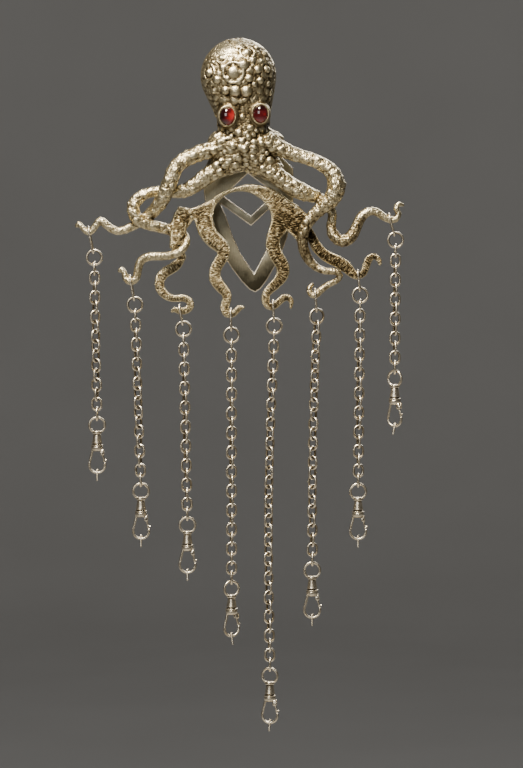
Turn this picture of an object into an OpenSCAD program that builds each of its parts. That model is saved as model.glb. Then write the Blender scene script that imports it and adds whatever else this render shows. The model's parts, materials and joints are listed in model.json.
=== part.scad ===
// Chatelaine: a cast octopus on a belt hook, with a chain and a swivel clip on each of its eight arms.
// Frame: +Z up, the front faces -Y, and the origin is the inside top of the belt hook's bend,
// where the belt bears.

/* [Octopus] */
// Height of the casting, from the crown to the lowest curl; the arms' reach follows it
octopus_size = 100; // [92:1:112]
// Width of the domed head
head_w = 27.4; // [25:0.2:30]
// How far the head stands in front of the casting's flat back
head_depth = 11; // [9:0.5:13]
// How far the body below the eyes stands in front of the flat back
body_depth = 8.5; // [7.5:0.5:10]
// Thickness of a round arm at mid length
arm_d = 5; // [4.4:0.1:5.4]
// Thickness of the flat web
web_t = 2; // [1.6:0.1:2.6]
// Width of the horseshoe opening in the web
opening_w = 21.2; // [19:0.2:22.4]

/* [Eyes] */
// Width of an eye stone
eye_w = 5.3; // [4.6:0.1:5.8]
// Height of an eye stone
eye_h = 6.4; // [5.6:0.1:7]
// How far a stone's dome stands above its rim
eye_dome = 1.9; // [1.4:0.1:2.4]
// Wall of the bezel round a stone
bezel_wall = 0.6; // [0.4:0.1:0.8]

/* [Belt hook] */
// Gap for the belt, between the tongue and the bend's front
belt_gap = 5; // [4.6:0.2:7]
// Thickness of the hook's sheet metal
hook_t = 1.2; // [1:0.1:1.6]
// Length of the tongue, from the bend to its point
hook_len = 77; // [72:1:84]
// Width of the shield-shaped tongue at its shoulders
hook_w = 33; // [30:0.5:35]
// Width of the strap at the bend
strap_w = 15; // [12:0.5:18]
// Height of the front tab, flat against the casting's back
tab_h = 22; // [16:1:28]
// Lean of the hook, in degrees
hook_lean = 3.5; // [0:0.5:5]

/* [Wire, loops and rings] */
// Wire of the loops, the rings and the links
wire_d = 0.85; // [0.75:0.01:0.92]
// Room left between two wires that hang in each other
wire_gap = 0.12; // [0.1:0.01:0.16]
// Room between a loop's top wire and the arm that carries it
seat_gap = 0.5; // [0.45:0.05:0.6]
// Inner height of a loop round an arm
loop_h = 7; // [6.8:0.1:8]
// Inner diameter of a jump ring
ring_d = 4.45; // [4.2:0.05:5]

/* [Chains] */
// Inner length of a link
link_l = 3.62; // [3.5:0.02:4]
// Inner width of a link
link_w = 2.4; // [2.3:0.05:2.6]

/* [Swivels and clips] */
// Inner diameter of the ring on a swivel
eye_ring_d = 4.75; // [4.6:0.05:5.4]
// Diameter of the washer under that ring
washer_d = 3.5; // [3.2:0.1:3.8]
// Thickness of the washer
washer_t = 1.15; // [1:0.05:1.4]
// Diameter of the riveted stud that the clip turns on
stud_d = 1.1; // [1:0.05:1.2]
// Running clearance round a stud or a pin
running = 0.05; // [0.03:0.01:0.08]
// End play of the clip along its stud
end_play = 0.2; // [0.15:0.05:0.3]
// Length of a clip's turned barrel
barrel_l = 5.9; // [5.6:0.1:6.6]
// Diameter of the barrel at its widest band
barrel_d = 4.3; // [4.2:0.1:4.6]
// Inner width of the teardrop hook
hook_in_w = 4.85; // [4.6:0.05:5.2]
// Wire of the teardrop hook
clip_wire_d = 0.85; // [0.8:0.01:0.9]
// Drop from the barrel's end to the centre of the hook's round bottom
hook_drop = 5.1; // [5:0.1:6]
// Length of the tail that crosses the hook's bottom
tail_l = 4.4; // [3.8:0.1:5]
// Diameter of the gate's hinge pin
pin_d = 0.6; // [0.5:0.02:0.64]
// Thickness of the gate's lever
gate_d = 0.72; // [0.6:0.02:0.8]
// How far a thumb nub stands out from the gate
nub_l = 0.9; // [0.6:0.1:1.2]

/* [Hidden] */
$fn = 48;
ARMS = [1:8];

// Sides of an arm, and steps between two rows of an arm's table
ARM_SIDES = 10;
ARM_STEPS = 2;
// Depth of a round arm and of a flat arm, as shares of its width
ROUND = 0.85;
FLAT = 0.5;

// A place on the casting is written as [across, up] in percent of octopus_size.
unit = octopus_size / 100;
SEAM = 0.05;
back_y = -(belt_gap / 2 + hook_t + SEAM);

// Columns of an arm's row: [across, up, lift, width]. Across and up are in percent of octopus_size.
// Lift is the height of the arm's back above the casting's flat back, and width is the arm's own
// width, both as shares of arm_d. The rows run from the body to the tip.
ARM_1 = [
    [-6.5, -23.8, 0.4, 1.3], [-16.2, -26.8, 0.5, 1.15], [-23, -30.6, 0.7, 1.14], [-25.5, -36, 0.8, 1.16],
    [-28, -42, 0.75, 1.14], [-31.9, -47.4, 0.3, 0.95], [-39.2, -52.6, 0, 0.7], [-45, -54.5, 0.1, 0.62],
    [-49, -52, 0.2, 0.62], [-51, -50.5, 0.2, 0.58], [-52.6, -52.4, 0.2, 0.54], [-54.9, -55.1, 0.2, 0.5],
    [-57.5, -53.1, 0.2, 0.4], [-58.6, -51.7, 0.2, 0.35], [-59.7, -52.8, 0.2, 0.22]];
ARM_2 = [
    [-7.6, -31.3, 0.2, 1.4], [-16.2, -37.4, 0.15, 1.16], [-20.5, -39.9, 0.05, 1.06], [-25.2, -40.5, 0, 0.88],
    [-30.6, -40.1, 0.05, 0.76], [-35, -41.2, 0.2, 0.85], [-38.2, -43.6, 0.35, 0.96], [-39.1, -46.8, 0.45, 0.95],
    [-37.4, -50.2, 0.5, 0.96], [-33.8, -52, 0.45, 0.83], [-29.5, -53.1, 0.2, 0.83], [-25.2, -54.2, 0, 0.8],
    [-21.4, -55.1, 0.1, 0.6], [-19.8, -57.6, 0.6, 0.52], [-20.9, -60.5, 1, 0.58], [-23.8, -62.5, 1.05, 0.64],
    [-28.4, -63.4, 0.7, 0.63], [-33.1, -63.5, 0.35, 0.66], [-36.3, -65, 0.2, 0.66], [-37.5, -68.4, 0.2, 0.62],
    [-37.9, -71, 0.2, 0.6], [-40, -72.7, 0.2, 0.6], [-41.9, -71.4, 0.2, 0.5], [-42.4, -69.4, 0.2, 0.4],
    [-43.5, -68, 0.2, 0.34], [-44.3, -69, 0.2, 0.22]];
ARM_3 = [
    [-21.8, -48.2, -0.25, 1.1], [-23.2, -56.4, 0.62, 1.05], [-23.2, -60.4, 0.45, 0.9], [-21.7, -64, 0.25, 0.62],
    [-24.3, -67.3, 0.3, 0.76], [-27.5, -69.1, 0.3, 0.78], [-29.5, -71.8, 0.3, 0.72], [-29.5, -74.9, 0.3, 0.7],
    [-27.7, -77.4, 0.3, 0.62], [-24.8, -78.7, 0.3, 0.54], [-21.6, -78.5, 0.3, 0.52], [-19.2, -79.3, 0.3, 0.54],
    [-18.5, -81.3, 0.3, 0.56], [-20, -82.9, 0.3, 0.54], [-22.3, -83.2, 0.3, 0.5], [-24.3, -82.7, 0.3, 0.36],
    [-25.4, -83.5, 0.3, 0.22]];
ARM_4 = [
    [-13.9, -47.9, -0.3, 1.2], [-12.7, -54.2, 0.12, 1.25], [-10.2, -57.6, 0.2, 1.2], [-7.4, -60, 0.3, 1.08],
    [-6.5, -62.6, 0.3, 0.94], [-8.1, -65.5, 0.3, 0.84], [-9.6, -68.4, 0.3, 0.84], [-9.7, -71.5, 0.3, 0.88],
    [-7.8, -74.4, 0.3, 0.84], [-5.8, -76.6, 0.3, 0.76], [-5.4, -79, 0.3, 0.64], [-6.3, -81.7, 0.3, 0.64],
    [-5.8, -84, 0.3, 0.54], [-4.1, -84.6, 0.3, 0.5], [-2.3, -83.5, 0.3, 0.48], [-1, -82.1, 0.3, 0.4],
    [0.6, -82, 0.3, 0.22]];
ARM_5 = [
    [13.2, -49.4, -0.25, 1.05], [11.9, -55.2, 0.12, 1], [11, -59, 0.2, 1.05], [12.2, -63, 0.3, 1.02],
    [14.2, -66.2, 0.3, 0.96], [14.8, -69.1, 0.3, 0.94], [13.5, -72, 0.3, 0.82], [11, -74.5, 0.3, 0.68],
    [8.9, -76.7, 0.3, 0.62], [8.4, -79.4, 0.3, 0.6], [9.5, -81.4, 0.3, 0.54], [11.2, -81.6, 0.3, 0.5],
    [13, -80.2, 0.3, 0.52], [14.9, -78.5, 0.3, 0.54], [16.8, -78.4, 0.3, 0.44], [17.8, -80.1, 0.3, 0.34],
    [17.5, -82.2, 0.3, 0.2]];
ARM_6 = [
    [8.5, -21.5, 0.4, 1.35], [15.5, -25.6, 0.4, 1.15], [20.9, -27.5, 0.5, 1], [26.3, -29.3, 0.55, 1],
    [31, -32, 0.55, 1.1], [33.5, -35.6, 0.55, 1.26], [33.7, -39.6, 0.55, 1.36], [31.7, -43.4, 0.55, 1.22],
    [27.9, -46.6, 0.5, 1], [24.7, -49.9, 0.45, 0.92], [22.6, -53.3, 0.45, 0.85], [21.8, -56.9, 0.4, 0.8],
    [22.1, -60.8, 0.3, 0.8], [23.9, -64.6, 0.2, 0.76], [26.8, -67.5, 0.3, 0.6], [30.2, -68.8, 0.5, 0.5],
    [33.5, -68.9, 0.5, 0.52], [35.3, -70.5, 0.5, 0.46], [33.7, -72.4, 0.4, 0.44], [30.8, -73.8, 0.2, 0.48],
    [28.4, -75.7, 0.2, 0.52], [26.4, -77.5, 0.2, 0.52], [24.7, -77, 0.2, 0.46], [24.1, -75.1, 0.2, 0.38],
    [25.5, -73.5, 0.2, 0.24]];
ARM_7 = [
    [21.4, -51, 0, 0.8], [24.8, -56.2, 0, 0.7], [26.8, -60.1, 0.05, 0.8], [30.2, -63.4, 0.1, 0.82],
    [34.2, -65.3, 0.1, 0.88], [37.4, -67.3, 0.2, 0.88], [39.6, -69.6, 0.25, 0.66], [41.8, -70.7, 0.25, 0.5],
    [43.8, -69.4, 0.25, 0.52], [44.8, -66.6, 0.25, 0.56], [45.9, -64.2, 0.25, 0.54], [47.8, -63.5, 0.25, 0.44],
    [49.4, -65, 0.25, 0.34], [49.6, -66.7, 0.25, 0.2]];
ARM_8 = [
    [7.2, -30.6, 0.2, 1.4], [16.5, -37.6, 0.15, 1.3], [21.6, -40.3, 0.15, 1.26], [25.9, -41.9, 0.05, 1],
    [30.2, -44.3, 0, 0.8], [32.5, -48.2, 0.05, 0.68], [32, -52.6, 0.1, 0.74], [33.1, -56.3, 0.15, 0.86],
    [36.2, -57.9, 0.15, 0.98], [39.1, -56.5, 0.15, 0.93], [40.9, -53.5, 0.15, 0.84], [42.5, -49.9, 0.15, 0.8],
    [45.2, -47.5, 0.15, 0.7], [48.2, -47.5, 0.15, 0.62], [50.6, -49.1, 0.15, 0.57], [53.3, -50.4, 0.15, 0.54],
    [55.4, -50, 0.15, 0.5], [56.3, -48.2, 0.15, 0.42], [55.4, -46.3, 0.15, 0.42], [56.3, -44.7, 0.15, 0.36],
    [58, -45.2, 0.15, 0.22]];

// One row for each arm: [rows, depth share, seat row, loop's share of loop_h, loop's lean, ring's turn,
// links in its chain, chain's lean, sideways bow half way down it as a share of link_w, twist half way
// down it, clip's turn]. Angles are in degrees.
ARM_ROWS = 0;
DEPTH = 1;
SEAT = 2;
LOOP = 3;
LOOP_LEAN = 4;
RING_TURN = 5;
LINKS = 6;
LEAN = 7;
BOW = 8;
TWIST = 9;
TURN = 10;
ARM_TABLE = [
    [ARM_1, ROUND, 11, 1.23, 11, 0, 16, 0.8, 0, 0, 0],
    [ARM_2, ROUND, 21, 1.17, 10, 0, 18, 1.7, 0, 0, 0],
    [ARM_3, FLAT, 14, 0.89, 10, 0, 19, 1.1, 0, 20, 0],
    [ARM_4, FLAT, 13, 0.99, 2, 0, 25, 0, 0, 15, 25],
    [ARM_5, FLAT, 11, 0.95, 3, 0, 35, -0.7, -0.5, 45, -15],
    [ARM_6, ROUND, 21, 1.05, 4, 25, 25, -1, -0.25, 45, 0],
    [ARM_7, FLAT, 7, 0.93, 6, 0, 19, -0.5, 0, 20, 0],
    [ARM_8, ROUND, 15, 1.03, 15, 0, 13, -0.2, 0, 15, -35]];

// Head, neck and body: [across, up, width, depth], widths as shares of head_w, depths of head_depth
HEAD = [-1.3, 1.1, 1, 1];
NECK = [0.5, -11.5, 0.72, 0.8];
// Chest and the four shoulders: [across, up, width, depth], in percent of octopus_size and shares of body_depth
CHEST = [0.7, -23.5, 18, 1];
BELLY = [0.9, -28.4, 9, 0.8];
SHOULDERS = [[-8.2, -22.8, 8.6, 0.85], [-9.6, -32.2, 7.4, 0.7], [11, -22.8, 8.6, 0.85], [11.3, -33, 8, 0.7]];
EYES = [["eye_left", -5.2, -13.2], ["eye_right", 6.6, -12.4]];
// How far the mound under a bezel spreads
EYE_MOUND = 0.6;
// Depth of a stone's seat below the bezel's rim, and the bezel's height over its mound
SEAT_DEPTH = 0.7;
BEZEL_HEIGHT = 0.5;

// The web's outer edge, in percent of octopus_size: the left column, the arch and the right wing
ARCH = [3.4, -56.3, 18.5];
OPENING = [0, -50];
WEB_LEFT = [
    [-8.4, -43.2], [-13.5, -44.9], [-18.6, -46.5], [-22.8, -45.6], [-25.8, -52], [-26.1, -60.5], [-22.2, -60.5],
    [-20.9, -54.8], [-17.2, -49.8], [-15.6, -55.5], [-10.5, -56.5], [-9, -50]];
WEB_RIGHT = [
    [12, -41.6], [17.1, -43.4], [20.2, -45.4], [23.8, -49], [24.3, -55], [20.6, -60.4], [19.4, -57.2],
    [16.2, -54.2], [13.5, -57.5], [8.6, -56], [9.5, -50]];

// Place of a point given in percent of octopus_size, at a height above the casting's back
function place(across, up, above) = [across * unit, back_y - above, up * unit];

// A smooth curve through a table's rows: row i and a share t of the way to the next one
function along(rows, i, t) =
    let (last = len(rows) - 1, a = rows[max(i - 1, 0)], b = rows[i], c = rows[min(i + 1, last)],
        d = rows[min(i + 2, last)])
    0.5 * (2 * b + (c - a) * t + (2 * a - 5 * b + 4 * c - d) * t * t + (3 * b - a - 3 * c + d) * t * t * t);
function smooth_rows(rows) =
    [for (k = [0:(len(rows) - 1) * ARM_STEPS])
        along(rows, floor(k / ARM_STEPS), k / ARM_STEPS - floor(k / ARM_STEPS))];
// Centre of an arm's section, where the depth share is the arm's own
function section_centre(row, depth) = place(row[0], row[1], (row[2] + row[3] * depth / 2) * arm_d);
function unit_vector(v) = v / norm(v);

// Sweeps a flattened round section along an arm's rows, from the body to a pointed tip
module arm_sweep(rows, depth) {
    sections = smooth_rows(rows);
    last = len(sections) - 1;
    centres = [for (s = sections) section_centre(s, depth)];
    points = concat(
        [for (i = [0:last])
            let (ahead = unit_vector(centres[min(i + 1, last)] - centres[max(i - 1, 0)]),
                side = unit_vector(cross([0, 1, 0], ahead)), front = cross(ahead, side),
                half = sections[i][3] * arm_d / 2)
            for (j = [0:ARM_SIDES - 1])
                centres[i] + side * half * cos(360 * j / ARM_SIDES)
                    + front * half * depth * sin(360 * j / ARM_SIDES)],
        [centres[0],
            centres[last] + unit_vector(centres[last] - centres[last - 1]) * sections[last][3] * arm_d / 2]);
    start = len(points) - 2;
    faces = concat(
        [for (i = [0:last - 1]) for (j = [0:ARM_SIDES - 1])
            let (k = (j + 1) % ARM_SIDES)
            [i * ARM_SIDES + j, (i + 1) * ARM_SIDES + j, (i + 1) * ARM_SIDES + k, i * ARM_SIDES + k]],
        [for (j = [0:ARM_SIDES - 1]) [start, j, (j + 1) % ARM_SIDES]],
        [for (j = [0:ARM_SIDES - 1])
            [start + 1, last * ARM_SIDES + (j + 1) % ARM_SIDES, last * ARM_SIDES + j]]);
    polyhedron(points, faces, convexity = 6);
}

// A rounded lump of the head or body, centred on the flat back
module lump(across, up, width, depth, sides = 28) {
    translate(place(across, up, 0)) scale([1, depth * 2 / width, 1]) sphere(d = width, $fn = sides);
}

module head_and_body() {
    head = [HEAD[0], HEAD[1], HEAD[2] * head_w, HEAD[3] * head_depth];
    neck = [NECK[0], NECK[1], NECK[2] * head_w, NECK[3] * head_depth];
    chest = [CHEST[0], CHEST[1], CHEST[2] * unit, CHEST[3] * body_depth];
    belly = [BELLY[0], BELLY[1], BELLY[2] * unit, BELLY[3] * body_depth];
    chain_hull([head, neck]);
    chain_hull([neck, chest]);
    chain_hull([chest, belly]);
    for (s = SHOULDERS)
        chain_hull([chest, [s[0], s[1], s[2] * unit, s[3] * body_depth]]);
}

module chain_hull(lumps) {
    hull() for (l = lumps) lump(l[0], l[1], l[2], l[3]);
}

// Height of an eye stone's rim above the casting's back
eye_rim = NECK[3] * head_depth + 0.2;

module eye_oval(grow, from, to) {
    y = back_y - to;
    translate([0, y, 0]) rotate([-90, 0, 0]) linear_extrude(to - from)
        scale([(eye_w + 2 * grow) / (eye_h + 2 * grow), 1]) circle(d = eye_h + 2 * grow, $fn = 24);
}

// A mound under each eye, drawn out to the bezel that stands round its stone
module eye_mound(eye) {
    translate([eye[1] * unit, 0, eye[2] * unit]) hull() {
        eye_oval(bezel_wall, eye_rim - SEAT_DEPTH, eye_rim + BEZEL_HEIGHT);
        eye_oval(bezel_wall + EYE_MOUND, eye_rim - 4, eye_rim - 3);
    }
}

module octopus() {
    color("#9c968a") difference() {
        union() {
            head_and_body();
            for (eye = EYES) eye_mound(eye);
            for (a = ARM_TABLE) arm_sweep(a[ARM_ROWS], a[DEPTH]);
            web();
        }
        translate([0, back_y + 50, -40]) cube([400, 100, 400], center = true);
        for (eye = EYES) translate([eye[1] * unit, 0, eye[2] * unit])
            eye_oval(SEAM, eye_rim - SEAT_DEPTH, eye_rim + head_depth);
    }
}

// The flat web behind the arms: the arch round the horseshoe opening, and its two wings
module web() {
    place_flat() difference() {
        union() {
            intersection() {
                translate([ARCH[0], ARCH[1]] * unit) circle(r = ARCH[2] * unit, $fn = 72);
                translate([-30, -50] * unit) square([60, 20] * unit);
            }
            polygon(WEB_LEFT * unit);
            polygon(WEB_RIGHT * unit);
        }
        translate(OPENING * unit) circle(d = opening_w, $fn = 48);
    }
}

// Stands a flat outline up against the casting's back
module place_flat() {
    translate([0, back_y, 0]) rotate([90, 0, 0]) linear_extrude(web_t) children();
}

// The stone of an eye: a flat-backed cabochon
module eye_stone(eye) {
    seat = eye_rim - SEAT_DEPTH + SEAM;
    color("#5c0f16") translate([eye[1] * unit, back_y - seat, eye[2] * unit])
        hull() scale([eye_w / eye_h, 1, 1]) rotate([90, 0, 0])
            rotate_extrude($fn = EYE_SIDES) polygon(stone_profile());
}

// Half outline of a round cabochon of the eye's height: a straight girdle under a dome
EYE_SIDES = 32;
DOME_STEPS = 6;
girdle = SEAT_DEPTH;
function stone_profile() = concat([[0, 0], [eye_h / 2, 0]],
    [for (k = [0:DOME_STEPS - 1])
        let (angle = 90 * k / DOME_STEPS)
        [eye_h / 2 * cos(angle), girdle + eye_dome * sin(angle)]],
    [[0, girdle + eye_dome]]);

// How far down the tongue the straight strap runs, as a share of the tongue's length
STRAP = 0.32;
// Half outline of the belt hook's tongue: [across, down] as shares of half its width and of its length
TONGUE = [
    [0.45, 0.3], [1, 0.43], [0.98, 0.55], [0.9, 0.66], [0.78, 0.75], [0.64, 0.82], [0.48, 0.88], [0.28, 0.945],
    [0.12, 0.985], [0, 1]];
// The two piercings, as [across, down] shares: below the chevron and above it
PIERCING_LOW = [
    [0, 0.911], [-0.27, 0.813], [-0.43, 0.72], [-0.53, 0.639], [-0.645, 0.573],
    [0, 0.687], [0.645, 0.573], [0.53, 0.639], [0.43, 0.72], [0.27, 0.813]];
PIERCING_HIGH = [[0, 0.639], [-0.56, 0.54], [0, 0.44], [0.56, 0.54]];

function tongue_point(p) = [p[0] * hook_w / 2, -p[1] * hook_len];

// A flat piece of the hook's sheet, its near face at y
module sheet(y) {
    translate([0, y + hook_t, 0]) rotate([90, 0, 0]) linear_extrude(hook_t) children();
}

module belt_hook() {
    gap_r = belt_gap / 2;
    right = [for (p = TONGUE) tongue_point(p)];
    left = [for (i = [len(right) - 2:-1:0]) [-right[i][0], right[i][1]]];
    color("#b9b5aa") rotate([0, -hook_lean, 0]) {
        sheet(gap_r) difference() {
            union() {
                polygon(concat(right, left));
                translate([-strap_w / 2, -hook_len * STRAP]) square([strap_w, hook_len * STRAP - gap_r]);
            }
            polygon([for (p = PIERCING_LOW) tongue_point(p)]);
            polygon([for (p = PIERCING_HIGH) tongue_point(p)]);
        }
        sheet(-gap_r - hook_t) translate([-strap_w / 2, -tab_h]) square([strap_w, tab_h - gap_r]);
        translate([-strap_w / 2, 0, -gap_r]) rotate([0, 90, 0]) rotate([0, 0, 90])
            rotate_extrude(angle = 180) translate([gap_r, 0]) square([hook_t, strap_w]);
    }
}

// Wire round an oval: two half rings and two straight sides, in the XZ plane, centred on the origin
module wire_oval(inner_w, inner_l, d) {
    r = (inner_w + d) / 2;
    straight = inner_l - inner_w;
    rotate([90, 0, 0]) {
        for (turn = [0, 180]) rotate([0, 0, turn]) translate([0, straight / 2, 0])
            rotate_extrude(angle = 180) translate([r, 0]) circle(d = d);
        for (side = [-r, r]) translate([side, 0, 0]) rotate([90, 0, 0])
            cylinder(d = d, h = straight, center = true);
    }
}

// Wire round a circle, in the XZ plane
module wire_ring(inner_d, d) {
    rotate([90, 0, 0]) rotate_extrude() translate([(inner_d + d) / 2, 0]) circle(d = d);
}

// How far the centre of a hanging wire lies above the centre of the wire that it hangs on
hang = wire_d + wire_gap;
ring_r = (ring_d + wire_d) / 2;
link_half = (link_l + wire_d) / 2;
eye_ring_r = (eye_ring_d + wire_d) / 2;
pitch = link_l - wire_gap;

function seat_row(a) = a[ARM_ROWS][a[SEAT]];
function seat_depth(a) = seat_row(a)[3] * arm_d * a[DEPTH];
function seat(a) = section_centre(seat_row(a), a[DEPTH]);
function lean_down(angle) = [sin(angle), 0, -cos(angle)];
function loop_inner(a) = a[LOOP] * loop_h;
// From the middle of an arm up to the top wire of its loop
function loop_top(a) = seat_row(a)[3] * arm_d / 2 + seat_gap + wire_d / 2;
function loop_centre(a) = seat(a) + lean_down(a[LOOP_LEAN]) * ((loop_inner(a) + wire_d) / 2 - loop_top(a));
function ring_centre(a) =
    seat(a) + lean_down(a[LOOP_LEAN]) * (loop_inner(a) + wire_d - loop_top(a) - hang + ring_r);
function link_centre(a, k) =
    ring_centre(a) + lean_down(a[LEAN]) * (ring_r - hang + link_half + k * pitch)
        + [a[BOW] * link_w * sin(180 * k / (a[LINKS] - 1)), 0, 0];
function eye_centre(a) =
    link_centre(a, a[LINKS] - 1) + lean_down(a[LEAN]) * (link_half - hang + eye_ring_r);

// Turn of link k: a quarter turn each, with a slow twist that ends in line with both rings
function link_turn(a, k) =
    let (share = k / (a[LINKS] - 1))
    90 * (k + 1) + (a[LINKS] % 2 == 0 ? 90 * share : 0) + a[TWIST] * sin(180 * share)
        + a[RING_TURN] * (1 - share);

module loop(a) {
    color("#b5b0a4") translate(loop_centre(a)) rotate([0, -a[LOOP_LEAN], 0]) rotate([0, 0, 90])
        wire_oval(seat_depth(a) + 2 * seat_gap, loop_inner(a), wire_d);
}

module ring(a) {
    color("#b5b0a4") translate(ring_centre(a)) rotate([0, 0, a[RING_TURN]]) wire_ring(ring_d, wire_d);
}

module chain(a) {
    color("#a8a398") for (k = [0:a[LINKS] - 1])
        translate(link_centre(a, k)) rotate([0, -a[LEAN], 0]) rotate([0, 0, link_turn(a, k)])
            wire_oval(link_w, link_l, wire_d);
}

// Heights on a clip, measured down from the centre of its ring
washer_end = eye_ring_r + wire_d / 2;
barrel_top = washer_end + end_play;
barrel_end = barrel_top + barrel_l;
hook_z = barrel_end + hook_drop;
// The riveted head inside the barrel's open end: how far it stands out round the stud, its thickness
// and how far it lies inside
rivet_rim = 0.4;
rivet_t = 0.5;
rivet_recess = 0.15;
rivet_d = stud_d + 2 * rivet_rim;
bore_end = barrel_end - rivet_recess - rivet_t - end_play;
hook_r = (hook_in_w + clip_wire_d) / 2;
// Where a side of the hook leaves the barrel's wall, and how deep it is rooted there
side_wall = 0.2;
side_root = 0.5;
side_x = rivet_d / 2 + side_wall + clip_wire_d / 2;
side_z = barrel_end - side_root;
// Angle at which a straight side meets the round bottom
side_angle = atan2(hook_z - side_z, side_x) - acos(hook_r / norm([side_x, hook_z - side_z]));

module swivel_eye(a) {
    color("#aaa598") translate(eye_centre(a)) {
        wire_ring(eye_ring_d, wire_d);
        translate([0, 0, -washer_end]) cylinder(d = washer_d, h = washer_t);
        translate([0, 0, rivet_recess - barrel_end]) {
            cylinder(d = rivet_d, h = rivet_t);
            cylinder(d = stud_d, h = barrel_end - rivet_recess - washer_end + washer_t / 2);
        }
    }
}

// Half outline of the turned barrel: [radius as a share of half barrel_d, share of barrel_l from the top]
BARREL = [[0.6, 0], [0.66, 0.06], [0.74, 0.3], [0.88, 0.52], [0.76, 0.56], [0.76, 0.6], [1, 0.62], [1, 0.7],
    [0.93, 0.72], [1, 0.74], [1, 0.81], [0.94, 0.9], [0.8, 1]];

module barrel() {
    difference() {
        rotate_extrude() polygon(concat([[0, -barrel_top], for (p = BARREL)
            [p[0] * barrel_d / 2, -barrel_top - p[1] * barrel_l]], [[0, -barrel_end]]));
        translate([0, 0, -barrel_end - 1]) {
            cylinder(d = stud_d + 2 * running, h = barrel_l + 2);
            cylinder(d = rivet_d + 2 * running, h = barrel_end - bore_end + 1);
        }
    }
}

// The gate hinges on the straight side's line, a little below the barrel
gate_pin_drop = 0.9;
gate_pin_z = barrel_end + gate_pin_drop;
gate_pin_x = side_x + (gate_pin_z - side_z) * tan(side_angle);
knuckle_wall = 0.38;
knuckle_r = pin_d / 2 + running + knuckle_wall;
knuckle_w = 0.8;
ear_t = 0.45;
ear_y = knuckle_w / 2 + 2 * running;
// Angle of the hook's open end above the middle of its round bottom, and the gate's gap over that end
hook_tip_angle = 10;
gate_tip_gap = 0.45;
gate_l = (hook_z - gate_pin_z - hook_r * sin(hook_tip_angle) - gate_tip_gap) / cos(side_angle);
// How far down the gate its thumb nub stands, as a share of the gate's length
NUB = 0.82;
// Lean of the tail to the front, and the share of it that stands below the hook's bottom
tail_lean = 20;
TAIL_DROP = 0.7;

module teardrop_wire() {
    straight = norm([hook_r * cos(side_angle) - side_x, hook_z - side_z - hook_r * sin(side_angle)]);
    translate([0, 0, -hook_z]) rotate([90, 0, 0]) rotate([0, 0, 180 - side_angle]) {
        rotate_extrude(angle = 180 + side_angle + hook_tip_angle)
            translate([hook_r, 0]) circle(d = clip_wire_d);
        translate([hook_r, 0, 0]) rotate([90, 0, 0]) cylinder(d = clip_wire_d, h = straight);
    }
}

// Two ears that carry the gate's pin
module gate_ears() {
    for (side = [-1, 1]) translate([gate_pin_x, side * (ear_y + ear_t / 2), -gate_pin_z]) rotate([90, 0, 0]) {
        cylinder(r = knuckle_r, h = ear_t, center = true);
        translate([-knuckle_r, 0, -ear_t / 2]) cube([knuckle_r * 1.6, gate_pin_z - barrel_end + 0.6, ear_t]);
    }
    translate([gate_pin_x, 0, -gate_pin_z]) rotate([90, 0, 0])
        cylinder(d = pin_d, h = 2 * (ear_y + ear_t), center = true);
}

// The pointed tail that crosses the round bottom and leans to the front
module tail() {
    translate([0, 0, -hook_z - hook_r]) rotate([-tail_lean, 0, 0]) translate([0, 0, -tail_l * TAIL_DROP])
        cylinder(d1 = clip_wire_d * 0.75, d2 = clip_wire_d * 1.15, h = tail_l);
}

module clip(a) {
    color("#b0ab9e") translate(eye_centre(a)) rotate([0, 0, a[TURN]]) {
        barrel();
        teardrop_wire();
        gate_ears();
        tail();
    }
}

module gate(a) {
    color("#bdb9ad") translate(eye_centre(a)) rotate([0, 0, a[TURN]]) translate([gate_pin_x, 0, -gate_pin_z])
        difference() {
            union() {
                rotate([90, 0, 0]) cylinder(r = knuckle_r, h = knuckle_w, center = true);
                rotate([0, 180 - side_angle, 0]) cylinder(d = gate_d, h = gate_l);
                rotate([0, 180 - side_angle, 0]) translate([0, 0, gate_l * NUB]) rotate([0, -90, 0])
                    cylinder(d1 = gate_d, d2 = gate_d * 0.8, h = nub_l);
            }
            rotate([90, 0, 0]) cylinder(d = pin_d + 2 * running, h = knuckle_w + 1, center = true);
        }
}

octopus();
belt_hook();
for (eye = EYES) eye_stone(eye);
for (n = ARMS) {
    a = ARM_TABLE[n - 1];
    loop(a);
    ring(a);
    chain(a);
    swivel_eye(a);
    clip(a);
    gate(a);
}
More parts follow.
